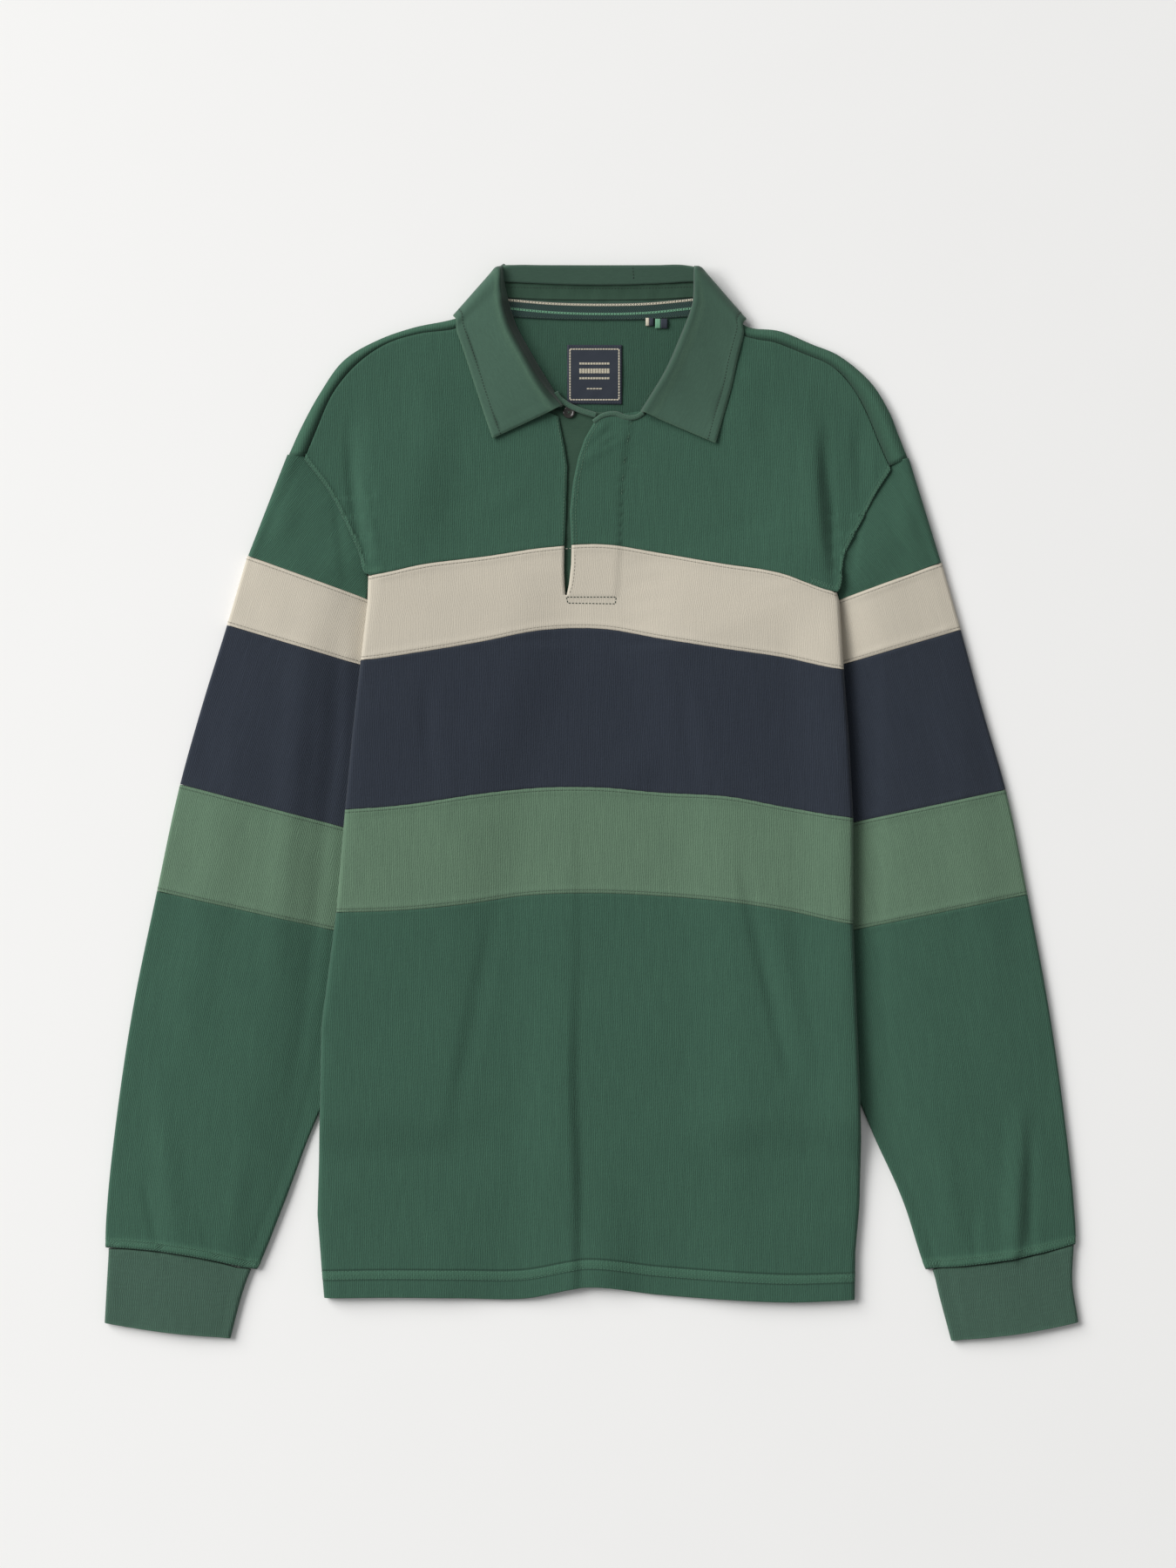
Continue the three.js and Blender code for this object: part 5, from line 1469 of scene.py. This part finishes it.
class SHIRT_OT_cuffs(Operator):
    """Make both ribbed cuffs"""
    bl_idname = "shirt.cuffs"
    bl_label = "Cuffs"

    def execute(self, context):
        wall = sizes().rib / MM
        for side, lines in (("left", LEFT_SLEEVE), ("right", RIGHT_SLEEVE)):
            lines = {**lines, "cuff_top": CUFF_START[side]}
            sleeve_piece("cuff", side, lines, "cuff_top", "cuff_end", "rib", wall, False)
        return {"FINISHED"}


class SHIRT_OT_collar(Operator):
    """Make the collar fall with both leaves and the stand inside the neck"""
    bl_idname = "shirt.collar"
    bl_label = "Collar"

    def execute(self, context):
        collar_fall()
        collar_stand()
        return {"FINISHED"}


class SHIRT_OT_placket(Operator):
    """Make the underlap, the bound neck edges and the button"""
    bl_idname = "shirt.placket"
    bl_label = "Placket"

    def execute(self, context):
        grid = between([(-34, 290), (-34, 245), (-33, 195), (-33, 150)], [(14, 287), (16, 245), (17, 195), (17, 150)],
                       np.linspace(0, 1, 24), lambda x, y: 2.35 + 0.25 * wander(x, y, 24, 5), 2.4)
        # The underlap takes the darker copy of the collar twill, painted shade
        cloth("placket_underlap_cloth", grid, 1.4, finish("shaded_twill"), ["placket_underlap"])
        binding("neck_binding_left_cloth", "neck_binding_left",
                [(-26.5, 302), (-23.8, 297.6), (-19, 293.8), (-9.6, 289.1), (3.5, 284.9)],
                lambda x, y: 5.4 + 0 * x, 3.4)
        binding("neck_binding_right_cloth", "neck_binding_right",
                [(1.5, 280), (7.7, 284.4), (17.9, 286), (25, 283.4), (32.6, 283.6), (38.5, 287)],
                lambda x, y: front_rest(x, y) + 1.7, 3.0)
        button_piece()
        return {"FINISHED"}


class SHIRT_OT_neck(Operator):
    """Make the neck tape, the ends of the hanging loop and the label"""
    bl_idname = "shirt.neck"
    bl_label = "Tape, loop and label"

    def execute(self, context):
        grid = between([(-67, 371.6), (-30, 368.5), (6, 367.6), (42, 368.3), (76, 371.4)],
                       [(-62, 357.4), (-30, 355.6), (6, 355), (42, 355.5), (72, 357.4)], np.linspace(0, 1, 9),
                       lambda x, y: back_height(x, np.minimum(y, 366)) + 1.5 + 0.12 * wander(x, y, 20, 1), 2)
        cloth("neck_tape_cloth", grid, 0.8, finish("tape"), ["neck_tape"], outward=-1)
        for name, x0, x1, y0, y1, colour in (("loop_end_left", 39.8, 45.6, 356.4, 350.8, "cream"),
                                             ("loop_end_right", 46.8, 55.8, 355.8, 348.9, "mint")):
            def arch(x, y):
                return back_height(x, y) + 1.8 + 0.8 * np.sin(np.pi * np.clip((y0 - y) / (y0 - y1), 0, 1))

            middle = mix(x0, x1, 0.45)
            for part, a, b, made in (("pale", x0, middle - 0.1, colour), ("dark", middle + 0.1, x1, "label")):
                grid = between([(a, y0), (b, y0)], [(a, y1), (b, y1)], np.linspace(0, 1, 9), arch, 0.8)
                cloth(f"{name}_{part}", grid, 0.8, finish(made), [name] if part == "pale" else (), outward=-1)
        label = between([(-17.9, 336.8), (22.4, 336.6)], [(-17.9, 293.6), (22.4, 293.2)], np.linspace(0, 1, 30),
                        lambda x, y: back_height(x, y) + 1.5 + 0.12 * wander(x, y, 18, 2), 1.6)
        cloth("neck_label_cloth", label, 0.8, finish("label"), ["neck_label"], outward=-1)
        label_weave()
        return {"FINISHED"}


def label_weave():
    """Plain woven frame and bars on the label."""
    strips = [((-15.8, 333.6), (20.2, 333.6), 0.8), ((-15.8, 296.6), (20.2, 296.6), 0.8),
              ((-15.8, 333.6), (-15.8, 296.6), 0.8), ((20.2, 333.6), (20.2, 296.6), 0.8),
              ((-9, 323), (13.4, 323), 1.6), ((-9, 317.6), (13.4, 317.6), 3.4), ((-9, 312.2), (13.4, 312.2), 1.6),
              ((-3.5, 304.6), (7.9, 304.6), 1.0)]
    marks = []
    for (x0, y0), (x1, y1), width in strips:
        a, b = np.array([x0, y0]), np.array([x1, y1])
        way = (b - a) / np.linalg.norm(b - a)
        aside = np.array([-way[1], way[0]])
        rows = max(1, int(round(width / 0.5)))
        for k in range(rows):
            off = aside * (k - (rows - 1) / 2) * 0.5
            count = int(np.linalg.norm(b - a) / 2)
            for n in range(count):
                x, y = a + off + (b - a) * (n + 0.5) / count
                z = float(back_height(x, y)) + 1.95 + 0.12 * float(wander(x, y, 18, 2))
                marks.append((np.array([x, y, z]), np.array([way[0], way[1], 0]), np.array([0, 0, 1.0]),
                              np.linalg.norm(b - a) / count * 1.06))
    stitched("label_weave", marks, finish("cream"), 0.56, 4)


class SHIRT_OT_stitching(Operator):
    """Sew the pieces: topstitches beside the seams, twin rows at the armholes, shoulders, cuffs and hem"""
    bl_idname = "shirt.stitching"
    bl_label = "Stitching"

    def execute(self, context):
        pitch = sizes().stitch / MM
        for band in ("stone", "sage"):
            pieces = [f"front_{band}", f"back_{band}", f"sleeve_{band}_left", f"sleeve_{band}_right"]
            marks = stitch_marks(edges(pieces, ("top", "bottom"), [TOPSTITCH]), pitch, pitch * 0.72)
            stitched(f"{band}_topstitch", marks, finish(f"{band}_thread"))
        hem = cover_marks(*edges(["front_lower"], ["bottom"], (14, 19.6)), 2.6)
        hem += stitch_marks(edges(["front_lower"], ["bottom"], [16.8]), 2.6, 2.0)
        hem += stitch_marks(edges(["back_lower"], ["bottom"], (14, 19.8)), 2.6, 1.8)
        coverstitched("hem_coverstitch", hem, 0.5)
        for side, armhole in (("left", (0.56, 1.0)), ("right", (0.0, 0.42))):
            rows = edges([f"sleeve_lower_{side}"], ["bottom"], (1.4, 6.4))
            coverstitched(f"cuff_coverstitch_{side}", cover_marks(*rows))
            rows = [edge_line(f"front_upper_{side}_cloth", "bottom", inset, *armhole) for inset in (1.3, 5.0)]
            coverstitched(f"armhole_coverstitch_{side}", cover_marks(*rows))
        for side, shoulder in (("left", (0.66, 1.0)), ("right", (0.0, 0.34))):
            rows = [edge_line("back_upper_cloth", "top", inset, *shoulder) for inset in (1.4, 5.4, 8.6)]
            marks = cover_marks(*rows[:2], 1.9) + stitch_marks(rows[2:], 1.9, 1.5)
            coverstitched(f"shoulder_coverstitch_{side}", marks, 0.46)
        collar = edges(["collar_fall"], ["left"], [COLLAR_STITCH]) + edges(["collar_stand"], ["top"], [6.2])
        stitched("collar_topstitch", stitch_marks(collar, 2.3, 1.5), finish("dark_thread"), 0.6)
        stand = np.array([(-62, 382.4, 6.6), (-30, 381.6, 6.6), (6, 381.2, 6.6), (42, 381.6, 6.6), (72, 382.4, 6.6)])
        short = np.array([(30.2, 393.6, 9.7), (30.4, 389.6, 9.5), (30.7, 384.4, 8.9)])
        rows = [(line, upward(line)) for line in (stand, short)]
        stitched("collar_seam_stitch", stitch_marks(rows, 2.0, 1.4), finish("dark_thread"), 0.55)
        placket_stitches()
        neck_stitches()
        return {"FINISHED"}


def coverstitched(name, marks, thickness=0.55):
    stitched(name, marks, finish("cover_thread"), thickness, 5)


def on_front(points, lift=0.86):
    """Points and normals of a line over the front, lying on its outside."""
    points = np.array(points, float)
    run = run_along(points)
    line = through(run, points, np.linspace(0, run[-1], int(run[-1] / 2) + 2))
    z = front_height(line[:, 0], line[:, 1]) + lift
    return np.column_stack([line, z]), upward(line)


def placket_stitches():
    """Stitches along both edges of the fly, and the box at the foot of the slit."""
    fly = [(x, y) for y, x in FLY_STITCH if y > 191]
    fly_low = [(x, y) for y, x in FLY_STITCH if y < 189]
    green = [on_front(fly, 0.85), *edges(["front_upper_right"], ["right"], (1.7, 4.0)),
             *edges(["front_upper_left"], ["left"], [1.8])]
    stitched("placket_topstitch", stitch_marks(green, 2.5, 1.8), finish("pale_thread"))
    box = [on_front([(-18.6, 151.4), (18, 151.4)]), on_front([(18, 151.4), (17.4, 146.4)]),
           on_front([(17.4, 146.4), (-17.4, 147)]), on_front([(-17.4, 147), (-18.6, 151.4)])]
    stitched("placket_box_stitch", stitch_marks(box, 2.4, 1.8), finish("dark_thread"), 0.8)
    pale = [on_front(fly_low, 0.85), on_front([(-12.4, 186), (-12.6, 172), (-14, 161), (-16.2, 154)], 0.85)]
    stitched("placket_stone_stitch", stitch_marks(pale, 2.5, 1.8), finish("stone_thread"))


def neck_stitches():
    """Stitches of the bindings, the label and the tape, with the tape's beads."""
    rows = edges(["neck_binding_left", "neck_binding_right"], ("top", "bottom"), [1.3])
    stitched("neck_binding_stitch", stitch_marks(rows, 1.7, 1.3), finish("pale_thread"), 0.34)
    for name, inset, colour in (("cream_beads", 1.5, "cream_thread"), ("mint_beads", 8.2, "mint_thread")):
        line = edge_line("neck_tape_cloth", "top", inset)
        beads = stitch_marks([line], 2.3, 2.0)
        for off in (-0.55, 0.55):
            beads += stitch_marks([(line[0] + np.array([0, off, -0.05]), line[1])], 1.15, 0.9)
        stitched(name, beads, finish(colour), 0.95)
    stitched("tape_stitch", stitch_marks(edges(["neck_tape"], ["bottom"], [0.9]), 2.2, 1.6), finish("green_thread"))
    label = edges(["neck_label"], ("top", "bottom", "left", "right"), [1.0])
    stitched("label_stitch", stitch_marks(label, 1.9, 1.4), finish("navy_thread"), 0.5)
    seam = np.array([(47.5, 306, 0), (42, 301, 0), (38, 296, 0), (36, 288, 0)], float)
    seam[:, 2] = back_height(seam[:, 0], seam[:, 1]) + 1.0
    stitched("neck_seam_stitch", stitch_marks([(seam, upward(seam))], 2.2, 1.7), finish("green_thread"))


# The floor, the light and the camera are placed in metres
FLOOR_GAP = 0.0002
SKY = (0.97, 0.985, 1.0, 1), 0.315
LIGHTS = (("key", (-3.1, 2.4, 2.55), "SUN", 2.62), ("side", (-3.3, 0.7, 2.8), "AREA", 66.0))
CAMERA_PLACE = (-2.6 * MM, 14.1 * MM, 2.72 + 5 * MM)


class SHIRT_OT_stage(Operator):
    """Make the pale floor, the soft light and the camera straight above"""
    bl_idname = "shirt.stage"
    bl_label = "Stage"

    def execute(self, context):
        scene = context.scene
        bm = bmesh.new()
        bmesh.ops.create_grid(bm, x_segments=8, y_segments=8, size=4)
        bmesh.ops.translate(bm, vec=(0, 0, -FLOOR_GAP), verts=bm.verts)
        mesh = bpy.data.meshes.new("floor")
        bm.to_mesh(mesh)
        bm.free()
        mesh.materials.append(finish("paper"))
        floor = bpy.data.objects.new("floor", mesh)
        scene.collection.objects.link(floor)
        scene.view_settings.view_transform = "Standard"
        world = bpy.data.worlds.new("studio")
        world.use_nodes = True
        sky = world.node_tree.nodes["Background"].inputs
        sky["Color"].default_value, sky["Strength"].default_value = SKY
        scene.world = world
        for name, place, kind, energy in LIGHTS:
            light = bpy.data.lights.new(name, kind)
            light.energy = energy
            if kind == "SUN":
                light.angle = math.radians(42)
            else:
                light.shape = "DISK"
                light.size = 1.7
            holder = bpy.data.objects.new(name, light)
            holder.location = place
            holder.rotation_euler = (-Vector(place)).to_track_quat("-Z", "Y").to_euler()
            scene.collection.objects.link(holder)
        camera = bpy.data.cameras.new("camera")
        camera.lens = 85
        camera.sensor_width = 36
        camera.clip_end = 20
        holder = bpy.data.objects.new("camera", camera)
        holder.location = CAMERA_PLACE
        scene.collection.objects.link(holder)
        scene.camera = holder
        return {"FINISHED"}


class SHIRT_PT_panel(Panel):
    bl_idname = "SHIRT_PT_panel"
    bl_label = "Rugby shirt"
    bl_space_type = "VIEW_3D"
    bl_region_type = "UI"
    bl_category = "Shirt"

    def draw(self, context):
        layout = self.layout
        for group in (context.scene.shirt_sizes, context.scene.shirt_colours):
            box = layout.box()
            for name in group.__annotations__:
                box.prop(group, name)
        for operator in OPERATORS:
            layout.operator(operator.bl_idname)


OPERATORS = (SHIRT_OT_stage, SHIRT_OT_back, SHIRT_OT_front, SHIRT_OT_sleeves, SHIRT_OT_cuffs, SHIRT_OT_collar,
             SHIRT_OT_placket, SHIRT_OT_neck, SHIRT_OT_stitching)
CLASSES = (ShirtSizes, ShirtColours, *OPERATORS, SHIRT_PT_panel)


def register():
    for item in CLASSES:
        bpy.utils.register_class(item)
    bpy.types.Scene.shirt_sizes = PointerProperty(type=ShirtSizes)
    bpy.types.Scene.shirt_colours = PointerProperty(type=ShirtColours)


def unregister():
    del bpy.types.Scene.shirt_colours
    del bpy.types.Scene.shirt_sizes
    for item in reversed(CLASSES):
        bpy.utils.unregister_class(item)


def main():
    register()
    for step in ("stage", "back", "front", "sleeves", "cuffs", "collar", "placket", "neck", "stitching"):
        getattr(bpy.ops.shirt, step)()


if __name__ == "__main__":
    main()
